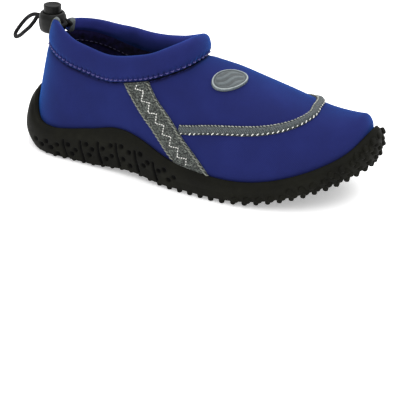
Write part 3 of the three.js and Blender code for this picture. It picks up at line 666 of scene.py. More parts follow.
def make_loop():
    start = LOCK_FOOT[0] - BARREL["width"] / 2 - GAP

    def spot(back, down, aside):
        return [start - LOOP["reach"] * back, LOCK_FOOT[1] + aside, CORD_HEIGHT - LOOP["drop"] * down]

    points = [spot(0, 0, STRAND), spot(0.05, 0, STRAND)]
    points += [spot(back, down, aside * LOOP["spread"]) for back, down, aside in LOOP_ROUTE]
    points += [spot(0.05, 0, -STRAND), spot(0, 0, -STRAND)]
    line = smooth_line(points, 200)
    grid, cloth = tube_grid(line, CORD_SEEN)
    patches = Patches()
    patches.add(grid, cloth)
    piece = own(patches.piece("drawcord_loop", ["braid"]), "elastic_cord", "cord_loop")


make_loop()


# Upper
# Main creases and swellings: place from the heel, height, slope, reach along, reach up, and depth outwards
CREASES = [
    (112, 22, -0.35, 7, 14, -0.5),
    (124, 26, -0.3, 6, 12, 0.35),
    (136, 20, -0.3, 7, 12, -0.35),
    (70, 34, 0.2, 9, 14, 0.35),
    (30, 30, 0.0, 12, 12, -0.4),
]
SEAM_PULL = {"depth": 0.7, "reach": 2.6}  # the upper is drawn in under the collar's seam
TOE_SWELL = {"height": 0.7, "from": 0.94, "above": 10.5, "fade": 5.0}
UPPER_STATIONS = 120  # up to the seam's front, and again from there to the toe
UPPER_ROWS = 56


def soften(at, height):
    """Creases and swellings of the upper, in millimetres outwards"""
    lift = np.zeros(np.broadcast(at, height).shape)
    for middle, low, slope, width, tall, depth in CREASES:
        across = (at * LENGTH - middle - slope * (height - low)) / width
        lift = lift + depth * np.exp(-(across**2) - ((height - low) / tall) ** 2)
    toe = np.clip((at - TOE_SWELL["from"]) / (1 - TOE_SWELL["from"]), 0, 1) ** 2
    toe = toe * np.clip((height - TOE_SWELL["above"]) / TOE_SWELL["fade"], 0, 1)
    pull = SEAM_PULL["depth"] * np.exp(-((seam_drop(at, height) / SEAM_PULL["reach"]) ** 2))
    return lift + TOE_SWELL["height"] * toe - pull


def seam_drop(at, height):
    """How far below the collar's seam a height lies; a large number in front of the seam"""
    drop = HEEL * read(SEAM, "height", np.minimum(at, 0.6)) - FOOTBED - height
    return np.where(at < 0.56, drop, 99.0)


def upper_grid(side, grow, stations):
    """Points of one half of the upper, evenly spaced up to the seam or the ridge"""
    at = stations[:, None]
    top = np.minimum(seam_height((at - 0.5) * (LENGTH + 2 * grow)) - FOOTBED, ridge_height(at, grow))
    power = read(SECTIONS, "round", at)
    last = np.arcsin(np.clip(top / ridge_height(at, grow), 0, 1) ** (power / 2))
    dense = np.linspace(0, 1, 160)[None]
    height = ridge_height(at, grow) * np.sin(last * dense) ** (2 / power)
    run = run_across(side_point(at, side, height, grow))
    share = np.stack([np.interp(np.linspace(0, r[-1], UPPER_ROWS), r, dense[0]) for r in run])
    height = ridge_height(at, grow) * np.sin(last * share) ** (2 / power)
    swell = soften(at, height) if grow == 0 else 0
    turn = last * share / np.pi
    return bend(over_point(at, turn if side < 0 else 1 - turn, grow + swell)), seam_drop(at, height)


def make_upper():
    front = seam_front(0)
    ease = (1 - np.cos(np.linspace(0, np.pi, UPPER_STATIONS))) / 2
    stations = np.concatenate([front * ease, front + (1 - front) * ease[1:]])
    patches = Patches()
    for side in (-1, 1):
        outer, drop = upper_grid(side, 0, stations)
        inner, _ = upper_grid(side, -WALL, stations)
        # Painted shade along the foot of the collar's seam
        patches.add(outer, flip=side > 0, painted_shade=np.exp(-((drop / 1.6) ** 2)))
        patches.add(inner, look=1, flip=side < 0)
        # The wall is closed all along its foot, and at the seam, but not along the ridge
        for row, last in ((0, len(stations)), (-1, UPPER_STATIONS)):
            patches.add(np.stack([outer[:last, row], inner[:last, row]], 1), look=1)
    return own(patches.piece("soft_upper", ["neoprene", "lining"]), "neoprene", "upper")


make_upper()


# Collar
FACING = {"front_depth": 0.8, "depth": 5.0, "thickness": 0.7, "gap": 0.15}
# Section of the facing: share of its depth, and share of its thickness
FACING_PROFILE = [(0.12, 1), (0.5, 1), (0.9, 1), (1.0, 0.5), (0.9, 0), (0.4, 0)]


def facing_point(turn, down, inward):
    """A point of the knit facing that the collar sends down inside the upper"""
    at = seam_front(-WALL) * (1 - np.cos(turn * 2 * np.pi)) / 2
    top = seam_height((at - 0.5) * (LENGTH - 2 * WALL)) - FOOTBED
    depth = FACING["front_depth"] + FACING["depth"] * (1 - np.exp(-(((turn - 0.5) / 0.1) ** 2)))
    return side_point(at, np.where(turn < 0.5, -1.0, 1.0), top - depth * down, -WALL - inward)


def band_rings(share, grow, facing=False):
    """Rings of the collar band, from the outer foot over the top to the inner foot and its facing"""
    turn = ENDS[0] + (ENDS[1] - ENDS[0]) * share
    outer, inner = seam_point(turn, 0), seam_point(turn, -WALL)
    ahead = unit(seam_point(turn + 0.002, -WALL / 2) - seam_point(turn - 0.002, -WALL / 2))
    out = unit(np.stack([ahead[:, 1], -ahead[:, 0], np.zeros(len(share))], -1))
    up = unit(np.cross(out, ahead))
    up = np.where(up[:, 2:] < 0, -up, up)
    middle = (outer + inner) / 2
    stand = -out * (COLLAR * read(BAND, "lean", share))[:, None]
    stand[:, 2] += COLLAR * read(BAND, "height", share)
    rise = outer - middle
    rise = rise - out * np.sum(rise * out, 1)[:, None]
    grow = np.broadcast_to(grow, share.shape)[:, None]
    puff = (PUFF * (0.72 + 0.28 * np.exp(-(((share - 0.5) / 0.2) ** 2))))[:, None]

    def half(row, sign):
        return middle + rise * sign * (1 - row[0]) + stand * row[0] + out * sign * (puff * row[1] + grow)

    ring = [outer + up * (GAP - grow)]
    ring += [half(row, 1) for row in BAND_PROFILE]
    ring += [middle + stand + up * grow]
    ring += [half(row, -1) for row in reversed(BAND_PROFILE)]
    if facing:
        for down, thick in FACING_PROFILE:
            ring.append(facing_point(turn, down, FACING["gap"] + FACING["thickness"] * thick))
    ring += [inner + up * (GAP - grow)]
    return np.stack(ring, 1), out


def fine_rings(share, grow, count, facing=False):
    """The same rings with a smooth section of many points"""
    rings, out = band_rings(share, grow, facing)
    fine = np.stack([smooth_line(ring, count) for ring in rings])
    return fine, out


COLLAR_RINGS, COLLAR_ROWS = 420, 70
FACED_ROW = 42  # row of the collar's section where its knit gives way to the lining
STITCHED_ROW = 3
COLLAR_STITCH = {"pitch": 3.2, "up": 2.0, "reach": 1.6, "pull": 0.55}


def make_collar():
    """The padded band, drawn in at each stitch; gives back the places of its stitches"""
    share = np.linspace(0, 1, COLLAR_RINGS)
    fine, out = fine_rings(share, np.zeros(COLLAR_RINGS), COLLAR_ROWS, True)
    run = run_along(fine[:, 0])
    from_seam = run_across(fine)
    stitch = 0.5 + 0.5 * np.cos(2 * np.pi * run / COLLAR_STITCH["pitch"])
    near = np.exp(-(((from_seam - COLLAR_STITCH["up"]) / COLLAR_STITCH["reach"]) ** 2))
    pull = -COLLAR_STITCH["pull"] * stitch[:, None] * near
    wave = np.sin(run / 4.1) + 0.8 * np.sin(run / 2.3 + 1.3) + 0.7 * np.sin(run / 7.7 + 0.4)
    pull = pull + 0.16 * wave[:, None] * np.exp(-from_seam / 7.0) * (from_seam > 0.5)
    fine = fine + out[:, None] * pull[..., None]
    patches = Patches()
    grid = bend(fine)
    # Painted shade in the stitch dimples and along the crease at the seam
    dimple_shade = stitch[:, None] ** 2 * np.exp(-(((from_seam - 2.2) / 0.9) ** 2))
    crease_shade = np.maximum(dimple_shade, np.exp(-((from_seam / 1.1) ** 2)))
    # Painted highlight makes the inner side of the roll paler, and painted shade darkens the inner face down
    # to the lining
    total = from_seam[:, -1:]
    inside = np.clip((from_seam - total * 0.49) / 12, 0, 1) * 1.2
    inside = inside - 0.8 * np.exp(-(((from_seam - total * 0.43) / 4) ** 2))
    painted_shade = np.where(from_seam < total * 0.25, crease_shade * 0.7, inside)
    # Below FACED_ROW the inner face takes the dark lining, without sheen, and carries the painted shade
    # further down
    patches.add(grid[:, :FACED_ROW + 1], painted_shade=painted_shade[:, :FACED_ROW + 1])
    patches.add(grid[:, FACED_ROW:], look=1, painted_shade=np.clip(painted_shade[:, FACED_ROW:] - 0.25, 0, 1))
    patches.add(np.stack([grid[:, -1], grid[:, 0]], 1))
    for end in (0, -1):
        ring = grid[end]
        middle = ring.mean(axis=0)
        rows = [middle + (ring - middle) * s for s in (1.0, 0.7, 0.35, 0.0)]
        patches.add(np.stack(rows, 0))
    made = patches.piece("padded_collar", ["collar_knit", "lining"], merge=0.02)
    own(made, "neoprene", "collar")
    peaks = np.arange(COLLAR_STITCH["pitch"] / 2, run[-1], COLLAR_STITCH["pitch"])
    row = grid[:, STITCHED_ROW]
    ahead = unit(points_at(peaks, run, np.gradient(row, axis=0)))
    rise = points_at(peaks, run, grid[:, STITCHED_ROW + 1] - grid[:, STITCHED_ROW - 1])
    return points_at(peaks, run, row), unit(np.cross(ahead, rise)), ahead


collar_seam = make_collar()


# Sole
def rim_height(at, side):
    """Height of the sole's rim above the footbed"""
    share = np.where(side < 0, read(RIM, "lateral", at), read(RIM, "medial", at))
    return RISE * share - FOOTBED


SKIRT = {"drop": 0.9, "end": 0.46, "fade": 0.1}  # the wall's edge hangs lower from heel to waist


def tread(at):
    """Height of the wall's lower edge above the footbed"""
    fade = np.clip((at - SKIRT["end"]) / SKIRT["fade"], 0, 1)
    return KNOB["height"] - FOOTBED - SKIRT["drop"] * (1 - fade * fade * (3 - 2 * fade))


def sole_grow(at, up):
    """How far the wall stands out: its heel corner is rounded off, and its toe leans in on the upper"""
    heel = 3.2 * np.exp(-((at / 0.06) ** 2)) * np.clip(1 - up / 0.45, 0, 1) ** 2
    toe = 1 - np.clip((at - 0.88) / 0.1, 0, 1) * (0.2 + 0.25 * np.clip(up, 0, 1) ** 3)
    return RUBBER * read(RIM, "wall", at) * read(PROFILE, "share", up) * toe - heel


def sole_point(at, side, up, extra=0.0):
    """A point of the wall's outside, at a share of its height"""
    height = tread(at) + (rim_height(at, side) - tread(at)) * up
    return side_point(at, side, height, sole_grow(at, np.maximum(up, 0)) + extra, True)


GROOVES = [0.178, 0.232, 0.288, 0.347, 0.409, 0.468]
GROOVE = {"width": 1.5, "depth": 1.4, "top": 0.72, "slant": 0.014}
DIMPLE = {"radius": 1.35, "depth": 1.3}
# Round dimples of the heel and waist: share of the length and of the wall's height
DIMPLES = [
    (0.086, 0.42), (0.108, 0.3), (0.125, 0.5), (0.141, 0.3), (0.16, 0.46), (0.16, 0.1),
    (0.195, 0.52), (0.206, 0.2), (0.218, 0.36),
    (0.252, 0.6), (0.262, 0.28), (0.272, 0.46),
    (0.306, 0.5), (0.331, 0.6), (0.334, 0.32), (0.316, 0.22),
    (0.366, 0.64), (0.371, 0.3), (0.391, 0.56), (0.392, 0.16),
    (0.428, 0.68), (0.438, 0.38), (0.452, 0.56), (0.486, 0.5), (0.503, 0.64), (0.515, 0.3), (0.532, 0.5),
]


def round_the_shoe(up, count):
    """Evenly spaced stations and sides round the sole at one height of its wall"""
    turn = np.linspace(0, 2 * np.pi, 3000)
    at, side = (1 - np.cos(turn)) / 2, np.where(turn < np.pi, -1.0, 1.0)
    turn = even(bend(sole_point(at, side, up)), count + 1)[:-1] * 2 * np.pi
    return (1 - np.cos(turn)) / 2, np.where(turn < np.pi, -1.0, 1.0)


def wall_relief(at, side, up):
    """Depth of the grooves and dimples of the wall"""
    relief = np.zeros(np.broadcast(at, up).shape)
    low = (GROOVE["top"] - up) / (GROOVE["top"] + 0.06)
    for start in GROOVES:
        middle = start + GROOVE["slant"] * np.clip(low, 0, 1) ** 1.5
        across = (at - middle) * LENGTH / (GROOVE["width"] / 2)
        end = np.clip(low * 12, 0, 1)
        relief = relief - GROOVE["depth"] * np.exp(-(across**2) * 1.2) * end
    tall = (rim_height(at, side) - tread(at)) * up
    for place, share in DIMPLES:
        middle = (rim_height(place, side) - tread(place)) * share
        far = np.hypot((at - place) * LENGTH, tall - middle) / DIMPLE["radius"]
        relief = relief - DIMPLE["depth"] * np.exp(-(far**4))
    return relief


HALF_ROUND = 500  # stations on each side of the sole
TOE_LIP = {"lean": 0.6, "from": 0.95, "fade": 0.035, "reach": 2.6}  # leans in until it meets the upper


def make_sole():
    at, side = (v[:, None] for v in round_the_shoe(0.3, 2 * HALF_ROUND))
    up = np.linspace(0, 1, 44)[None]
    relief = wall_relief(at, side, up)
    wall = sole_point(at, side, up, relief)
    rim = rim_height(at, side)
    thick = sole_grow(at, 1.0)
    steps = np.linspace(0, np.pi, 9)[None, 1:]
    lean = TOE_LIP["lean"] * np.clip((at - TOE_LIP["from"]) / TOE_LIP["fade"], 0, 1)
    inner = GAP - lean
    middle, half = (thick + inner) / 2, (thick - inner) / 2
    lip = side_point(at, side, rim + 0.7 * np.sin(steps), middle + half * np.cos(steps), True)
    depth = (np.linspace(0, 1, 14)[None, 1:]) ** 1.5
    meets = GAP - lean * np.exp(-rim * depth / TOE_LIP["reach"])
    inside = side_point(at, side, rim * (1 - depth), meets, True)
    skin = bend(np.concatenate([wall, lip, inside], 1))
    patches = Patches()
    # Painted shade in the wall's grooves and dimples, darker as they get deeper
    painted_shade = np.zeros(skin.shape[:2])
    painted_shade[:, : relief.shape[1]] = np.clip(-relief / 0.95, 0, 1)
    patches.add(skin, closed=True, painted_shade=painted_shade)
    across = np.linspace(0, 1, 24)[None, :, None]
    for edge in (wall[:, 0], inside[:, -1]):
        lateral = edge[: HALF_ROUND + 1]
        medial = np.vstack([edge[:1], edge[HALF_ROUND:][::-1]])
        patches.add(bend(lateral[:, None] * (1 - across) + medial[:, None] * across))
    return own(patches.piece("rubber_sole", ["rubber"]), "rubber", "sole")


make_sole()


# Small pieces that repeat
def place_tree():
    """Stands a piece at every point of a mesh, with its height along "out" and its length along "along"."""
    tree = bpy.data.node_groups.new("place_pieces", "GeometryNodeTree")
    face = tree.interface
    for name, kind in (
        ("Geometry", "Geometry"),
        ("Piece", "Object"),
        ("Size variation", "Float"),
        ("Turn variation", "Float"),
        ("Seed", "Int"),
        ("Material", "Material"),
    ):
        face.new_socket(name, in_out="INPUT", socket_type="NodeSocket" + kind)
    face.new_socket("Geometry", in_out="OUTPUT", socket_type="NodeSocketGeometry")
    given = tree.nodes.new("NodeGroupInput").outputs
    out = node(tree, "GeometryNodeInputNamedAttribute", {"Name": "out"}, data_type="FLOAT_VECTOR")
    along = node(tree, "GeometryNodeInputNamedAttribute", {"Name": "along"}, data_type="FLOAT_VECTOR")
    size = node(tree, "GeometryNodeInputNamedAttribute", {"Name": "size"}, data_type="FLOAT")
    stand = node(tree, "FunctionNodeAlignRotationToVector", {"Vector": out.outputs[0]}, axis="Z")
    aligned = node(
        tree,
        "FunctionNodeAlignRotationToVector",
        {"Rotation": stand.outputs[0], "Vector": along.outputs[0]},
        axis="X",
        pivot_axis="Z",
    )
    seed = given["Seed"]
    low = node(tree, "ShaderNodeMath", {0: 0.0, 1: given["Turn variation"]}, operation="SUBTRACT")
    twist = node(
        tree,
        "FunctionNodeRandomValue",
        {"Min": low.outputs[0], "Max": given["Turn variation"], "Seed": seed},
        data_type="FLOAT",
    )
    turn = node(tree, "ShaderNodeCombineXYZ", {"Z": twist.outputs[1]})
    euler = node(tree, "FunctionNodeEulerToRotation", {0: turn.outputs[0]})
    rotation = node(
        tree,
        "FunctionNodeRotateRotation",
        {"Rotation": aligned.outputs[0], "Rotate By": euler.outputs[0]},
        rotation_space="LOCAL",
    )
    least = node(tree, "ShaderNodeMath", {0: 1.0, 1: given["Size variation"]}, operation="SUBTRACT")
    most = node(tree, "ShaderNodeMath", {0: 1.0, 1: given["Size variation"]}, operation="ADD")
    vary = node(
        tree,
        "FunctionNodeRandomValue",
        {"Min": least.outputs[0], "Max": most.outputs[0], "Seed": seed},
        data_type="FLOAT",
    )
    scale = node(tree, "ShaderNodeMath", {0: vary.outputs[1], 1: size.outputs[0]}, operation="MULTIPLY")
    source = node(tree, "GeometryNodeObjectInfo", {"Object": given["Piece"]})
    copies = node(
        tree,
        "GeometryNodeInstanceOnPoints",
        {
            "Points": given["Geometry"],
            "Instance": source.outputs["Geometry"],
            "Rotation": rotation.outputs[0],
            "Scale": scale.outputs[0],
        },
    )
    real = node(tree, "GeometryNodeRealizeInstances", {0: copies.outputs[0]})
    looks = {"Geometry": real.outputs[0], "Material": given["Material"]}
    dressed = node(tree, "GeometryNodeSetMaterial", looks)
    result = tree.nodes.new("NodeGroupOutput")
    tree.links.new(dressed.outputs[0], result.inputs[0])
    return tree


PLACE = place_tree()


def repeat(name, part, look, spots, out, along, size=None, size_variation=0.0, turn_variation=0.0, seed=1):
    """One piece made of many copies of a small part, at spots in millimetres"""
    base = bpy.data.meshes.new(name + "_spots")
    base.from_pydata([list(p) for p in np.array(spots) * MM], [], [])
    for key, values in (("out", out), ("along", along)):
        layer = base.attributes.new(key, "FLOAT_VECTOR", "POINT")
        layer.data.foreach_set("vector", np.array(values, float).ravel())
    layer = base.attributes.new("size", "FLOAT", "POINT")
    layer.data.foreach_set("value", np.ones(len(spots)) if size is None else np.array(size, float))
    holder = bpy.data.objects.new(name + "_spots", base)
    bpy.context.collection.objects.link(holder)
    modifier = holder.modifiers.new("place", "NODES")
    modifier.node_group = PLACE
    values = {
        "Piece": part,
        "Size variation": size_variation,
        "Turn variation": turn_variation,
        "Seed": seed,
        "Material": LOOKS[look],
    }
    for item in PLACE.interface.items_tree:
        if item.in_out == "INPUT" and item.name in values:
            modifier[item.identifier] = values[item.name]
    bpy.context.view_layer.update()
    graph = bpy.context.evaluated_depsgraph_get()
    mesh = bpy.data.meshes.new_from_object(holder.evaluated_get(graph))
    mesh.name = name
    mesh.polygons.foreach_set("use_smooth", np.ones(len(mesh.polygons), dtype=bool))
    made = bpy.data.objects.new(name, mesh)
    bpy.context.collection.objects.link(made)
    bpy.data.objects.remove(holder)
    return made


def spare(name, patches):
    """A small part to copy, kept out of the scene"""
    made = patches.piece(name, [])
    bpy.context.collection.objects.unlink(made)
    return made


def stub(name, foot, tip, height, root, corners=12):
    """A round knob that stands on its root, with soft edges"""
    outline = rounded([(foot, -root), (foot * 0.96, 0.2), (tip, height), (0.001, height)], 0.45, 3)
    patches = Patches()
    patches.add(revolved(outline, corners), closed=True)
    return spare(name, patches)


def stitch_part(name, length, width):
    """One stitch: a short bowed thread that dives in at both ends"""
    t = np.linspace(0, 1, 7)
    line = np.stack([(t - 0.5) * length, 0 * t, width * (1.1 * np.sin(np.pi * t) - 0.45)], -1)
    grid, cloth = tube_grid(line, width, 6)
    patches = Patches()
    patches.add(grid, cloth)
    return spare(name, patches)


collar_stitch = stitch_part("collar_stitch", 1.5, 0.65)
own(repeat("collar_stitches", collar_stitch, "blue_thread", *collar_seam, None, 0.1, 0.1, 6), "neoprene")


def stitch_facing():
    """Line of stitches along the lower edge of the collar's facing"""
    turn = ENDS[0] + (ENDS[1] - ENDS[0]) * np.linspace(0, 1, 240)
    skin, clear_of_it = FACING["gap"] + FACING["thickness"], 2.5
    line, above = (bend(facing_point(turn, 0.84, inward)) for inward in (skin, clear_of_it))
    run = run_along(line)
    places = np.arange(1.5, run[-1], 2.8)
    spots, tops = (points_at(places, run, v) for v in (line, above))
    ahead = unit(points_at(places, run, np.gradient(line, run, axis=0)))
    part = stitch_part("facing_stitch", 1.8, 0.5)
    out = unit(tops - spots)
    own(repeat("facing_stitches", part, "dark_thread", spots, out, ahead, None, 0.1, 0.1, 11), "neoprene")


stitch_facing()


# Knobs under the sole and round the toe. The pads carry the shoe, and the knobs and lugs are a little lower
TOE_KNOB_COUNT = 78  # in a full ring at one height
# Rows of the toe: share of the wall's height, and share of the length where the row starts
TOE_ROWS = [(0.13, 0.7), (0.36, 0.8), (0.57, 0.9), (0.73, 0.96)]


def outward(at, side, up):
    low, high = bend(sole_point(at, side, up)), bend(sole_point(at, side, up, 1.0))
    return unit(high - low)


def make_tread():
    at, side = round_the_shoe(0.0, KNOB["count"])
    edge = sole_point(at, side, 0.0)
    edge[:, 2] = KNOB["height"]
    ahead = unit(np.roll(edge, -1, 0) - np.roll(edge, 1, 0))
    inset = KNOB["width"] / 2 - 0.1
    spots = bend(edge + np.stack([-ahead[:, 1], ahead[:, 0], 0 * ahead[:, 0]], -1) * inset)
    down = np.tile([0, 0, -1.0], (KNOB["count"], 1))
    size = np.where(at < 0.42, 0.85, 0.96)
    knob = stub("knob_part", KNOB["width"] / 2, KNOB["width"] * 0.36, KNOB["height"], KNOB["root"])
    along = bend(edge + ahead) - bend(edge)
    own(repeat("edge_knobs", knob, "rubber", spots, down, along, size, 0.04, 0.5, 3), "rubber")
    line = sole_point(*round_the_shoe(0.0, 360), 0.0)[:, :2]
    field = []
    for i in range(-7, 8):
        for j in range(-3, 4):
            x, y = i * LUG["pitch"] * 0.87, (j + (0.5 if i % 2 else 0)) * LUG["pitch"]
            share = x / LENGTH + 0.5
            if not 0 < share < 1 or abs(y) >= half_width(share, -1 if y < 0 else 1, 0.0):
                continue
            clear = np.hypot(*(line - [x, y]).T).min() > KNOB["width"] + LUG["width"] / 2 + 1
            for pad in (HEEL_PAD, FORE_PAD):
                dx = (x - (pad["at"] - 0.5) * LENGTH) / (pad["length"] / 2 + LUG["width"] / 2 + 1)
                dy = y / (pad["width"] / 2 + LUG["width"] / 2 + 1)
                clear = clear and dx * dx + dy * dy > 1
            if clear:
                field.append([x, y, KNOB["height"]])
    lug = stub("lug_part", LUG["width"] / 2, LUG["width"] * 0.38, KNOB["height"], KNOB["root"], 20)
    many = len(field)
    down, along = np.tile([0, 0, -1.0], (many, 1)), np.tile([1.0, 0, 0], (many, 1))
    spots, size = bend(np.array(field)), np.full(many, 0.98)
    own(repeat("field_lugs", lug, "rubber", spots, down, along, size, 0.02, 0.0, 4), "rubber")
    for name, pad in (("heel_pad", HEEL_PAD), ("forefoot_pad", FORE_PAD)):
        high = KNOB["height"]
        outline = rounded([(0.5, -KNOB["root"]), (0.5, 0.1), (0.475, high), (0.001, high)], 0.02, 3)
        flat = revolved(outline, 64, pad["length"], pad["width"]) * [1, 1, -1]
        flat = flat + [(pad["at"] - 0.5) * LENGTH, 0, high]
        patches = Patches()
        patches.add(bend(flat), closed=True)
        own(patches.piece(name, ["rubber"]), "rubber")
    small = stub("toe_knob_part", 1.95, 1.6, 0.85, 0.9)
    spots, out, along = [], [], []
    for row, (up, first) in enumerate(TOE_ROWS):
        at, side = round_the_shoe(up, TOE_KNOB_COUNT)
        keep = at > first
        at, side = at[keep] - 0.0005 * row, side[keep]
        here = bend(sole_point(at, side, up))
        ahead = np.gradient(here, axis=0)
        if row % 2:
            here = here + ahead / 2
        spots.append(here)
        out.append(outward(at, side, up))
        along.append(unit(ahead))
    spots, out, along = (np.vstack(v) for v in (spots, out, along))
    own(repeat("toe_knobs", small, "rubber", spots, out, along, None, 0.08, 0.6, 5), "rubber")


make_tread()


def make_insole():
    stations = (1 - np.cos(np.linspace(0, np.pi, 90))) / 2
    across = np.linspace(-1, 1, 40)
    at, share = stations[:, None], across[None]
    side = np.where(share < 0, -1.0, 1.0)
    grow = -WALL - GAP
    width = half_width(at, side, 0.0, grow)
    x = (at - 0.5) * (LENGTH + 2 * grow)
    top = np.stack(np.broadcast_arrays(x, side * width * np.abs(share), FOOTBED + INSOLE), -1)
    patches = Patches()
    patches.add(bend(top))
    lower = top.copy()
    lower[..., 2] = FOOTBED
    patches.add(bend(lower), flip=True)
    for column in (0, -1):
        patches.add(bend(np.stack([top[:, column], lower[:, column]], 1)))
    return own(patches.piece("foam_insole", ["foam"]), "foam", "insole")


make_insole()


# Trim that lies on the upper
def turn_of(at, side, height):
    """The turn over the ridge of a height above the footbed"""
    ratio = np.clip(height / ridge_height(at), 0, 1)
    turn = np.arcsin(ratio ** (read(SECTIONS, "round", at) / 2)) / np.pi
    return turn if side < 0 else 1 - turn


def slopes(at, turn, step=1e-3):
    """How a place on the form moves with the share of the length, and with the turn"""
    by_at = over_point(at + step, turn) - over_point(at - step, turn)
    by_turn = over_point(at, turn + step) - over_point(at, turn - step)
    return by_at / (2 * step), by_turn / (2 * step)


def spread(at, turn, across):
    """Places beside a line on the form: share of the length and turn, at distances across the line"""
    here = over_point(at, turn)
    by_at, by_turn = slopes(at, turn)
    ahead = unit(np.gradient(here, axis=0))
    out = unit(np.cross(by_at, by_turn))
    out = out * np.sign(np.sum(out * (over_point(at, turn, 1.0) - here), 1))[:, None]
    beside = unit(np.cross(ahead, out))
    a, b, c = (np.sum(m * n, 1) for m, n in ((by_at, by_at), (by_at, by_turn), (by_turn, by_turn)))
    p, q = np.sum(beside * by_at, 1), np.sum(beside * by_turn, 1)
    det = a * c - b * b
    d_at, d_turn = (c * p - b * q) / det, (a * q - b * p) / det
    return at[:, None] + d_at[:, None] * across, turn[:, None] + d_turn[:, None] * across


def on_form(at, turn, grow):
    """Points of the real shoe over the form, with its creases"""
    swell = soften(at, over_point(at, turn)[..., 2] - FOOTBED)
    return bend(over_point(at, turn, grow + swell))


def trimmed(at, turn, rows, seam_gap, rim_depth):
    """A strip's places cut to run from under the collar's seam down into the sole's rim"""
    flat = over_point(at, turn)
    side = np.where(turn < 0.5, -1.0, 1.0)
    top = seam_height(flat[..., 0]) - seam_gap
    low = rim_height(at, side) + FOOTBED - rim_depth
    out_at, out_turn = [], []
    order = np.arange(at.shape[0], dtype=float)
    for k in range(at.shape[1]):
        inside = (flat[:, k, 2] < top[:, k]) & (flat[:, k, 2] > low[:, k])
        first, last = np.flatnonzero(inside)[[0, -1]]
        start = order[first]
        if first > 0:
            a = (flat[:, k, 2] - top[:, k])[first - 1 : first + 1]
            start = first - 1 + a[0] / (a[0] - a[1])
        places = np.linspace(start, order[last], rows)
        out_at.append(np.interp(places, order, at[:, k]))
        out_turn.append(np.interp(places, order, turn[:, k]))
    return np.stack(out_at, 1), np.stack(out_turn, 1)


def ribbon(name, look, at, turn, width, lift, section):
    """A strip that lies on the form; section gives its height at each share across"""
    share = np.sin(np.linspace(-np.pi / 2, np.pi / 2, at.shape[1]))
    grow = lift + section(share)
    rows = on_form(at, turn, grow[None])
    floor = on_form(at, turn, np.full((1, at.shape[1]), lift - 0.3))
    patches = Patches()
    cloth = measured(rows)
    cloth[..., 1] = share[None] * width / 2
    patches.add(rows, cloth)
    patches.add(floor, flip=True)
    for end in (0, -1):
        patches.add(np.stack([rows[end], floor[end]], 0))
    for edge in (0, -1):
        patches.add(np.stack([rows[:, edge], floor[:, edge]], 1))
    return patches.piece(name, [look])


def columns(width, count):
    return np.sin(np.linspace(-np.pi / 2, np.pi / 2, count))[None] * width / 2


def flat_section(thickness):
    return lambda share: thickness * np.sqrt(np.clip(1 - share**10, 0, 1)) - 0.02


def row_on(at, turn, grow, pitch, phase=0.0, twist=0.0):
    """Spots, outward and forward directions every pitch along a line on the form"""
    line, above = on_form(at, turn, grow), on_form(at, turn, grow + 1.0)
    run = run_along(line)
    places = np.arange(pitch * (0.5 + phase), run[-1] - pitch * 0.3, pitch)
    spots, tops = (points_at(places, run, v) for v in (line, above))
    ahead = unit(points_at(places, run, np.gradient(line, run, axis=0)))
    out = unit(tops - spots)
    ahead = ahead * math.cos(twist) + np.cross(out, ahead) * math.sin(twist)
    return spots, out, ahead


def tape_route(side, count):
    order = np.linspace(0, 1, count)
    at = read(TAPE, "at", order, "order")
    height = HEEL * read(TAPE, "height", order, "order") - FOOTBED
    return at, turn_of(at, side, height)


ZIGZAG = {"period": 6.9, "reach": 1.9, "stitch": 1.45}


def make_tapes():
    for side, name in ((-1, "lateral"), (1, "medial")):
        at, turn = tape_route(side, 400)
        taper = 1 - 0.2 * np.linspace(0, 1, 400)[:, None] ** 1.5  # the rear edge closes in on the way down
        across = columns(TAPE_WIDTH, 27)
        wide = spread(at, turn, np.where(across * side < 0, across * taper, across))
        at2, turn2 = trimmed(*wide, 110, 0.4, 2.0)
        tape = ribbon(f"mesh_tape_{name}", "tape", at2, turn2, TAPE_WIDTH, GAP, flat_section(TAPE_THICKNESS))
        own(tape, "mesh_tape", f"tape_{name}")
        edge = stitch_part(f"edge_stitch_{name}", 2.3, 0.6)
        rows = []
        for offset, phase in ((-6.0, 0.0), (6.0, 0.3)):
            offset = offset * (taper if offset * side < 0 else 1 + 0 * taper)
            near = trimmed(*spread(at, turn, offset), 200, 1.2, -1.2)
            rows.append(row_on(near[0][:, 0], near[1][:, 0], GAP + TAPE_THICKNESS, 2.2, phase, 0.35))
        spots, out, along = (np.vstack(v) for v in zip(*rows))
        seam = repeat(f"tape_edges_{name}", edge, "grey_thread", spots, out, along, None, 0.12, 0.15, 7)
        own(seam, "grey_tape")
        corner = run_along(bend(over_point(at, turn))) / (ZIGZAG["period"] / 2)
        swing = ZIGZAG["reach"] * (np.abs((corner % 2) - 1) * 2 - 1)
        a, b = spread(at, turn, np.zeros((1, 1)))
        across_at, across_turn = spread(at, turn, np.ones((1, 1)))
        zig_at = a[:, 0] + (across_at - a)[:, 0] * swing
        zig_turn = b[:, 0] + (across_turn - b)[:, 0] * swing
        zig = trimmed(zig_at[:, None], zig_turn[:, None], 400, 1.6, -1.6)
        dot = stitch_part(f"zigzag_stitch_{name}", 0.7, 0.5)
        spots, out, along = row_on(zig[0][:, 0], zig[1][:, 0], GAP + TAPE_THICKNESS, ZIGZAG["stitch"])
        stitches = repeat(f"tape_zigzag_{name}", dot, "white_thread", spots, out, along, None, 0.1, 0.2, 8)
        own(stitches, "grey_tape")


make_tapes()


def piping_section(share):
    core = np.exp(-((share / 0.46) ** 6))
    return flat_section(0.55)(share) + 0.75 * np.sqrt(np.clip(1 - (share / 0.55) ** 2, 0, 1)) * core


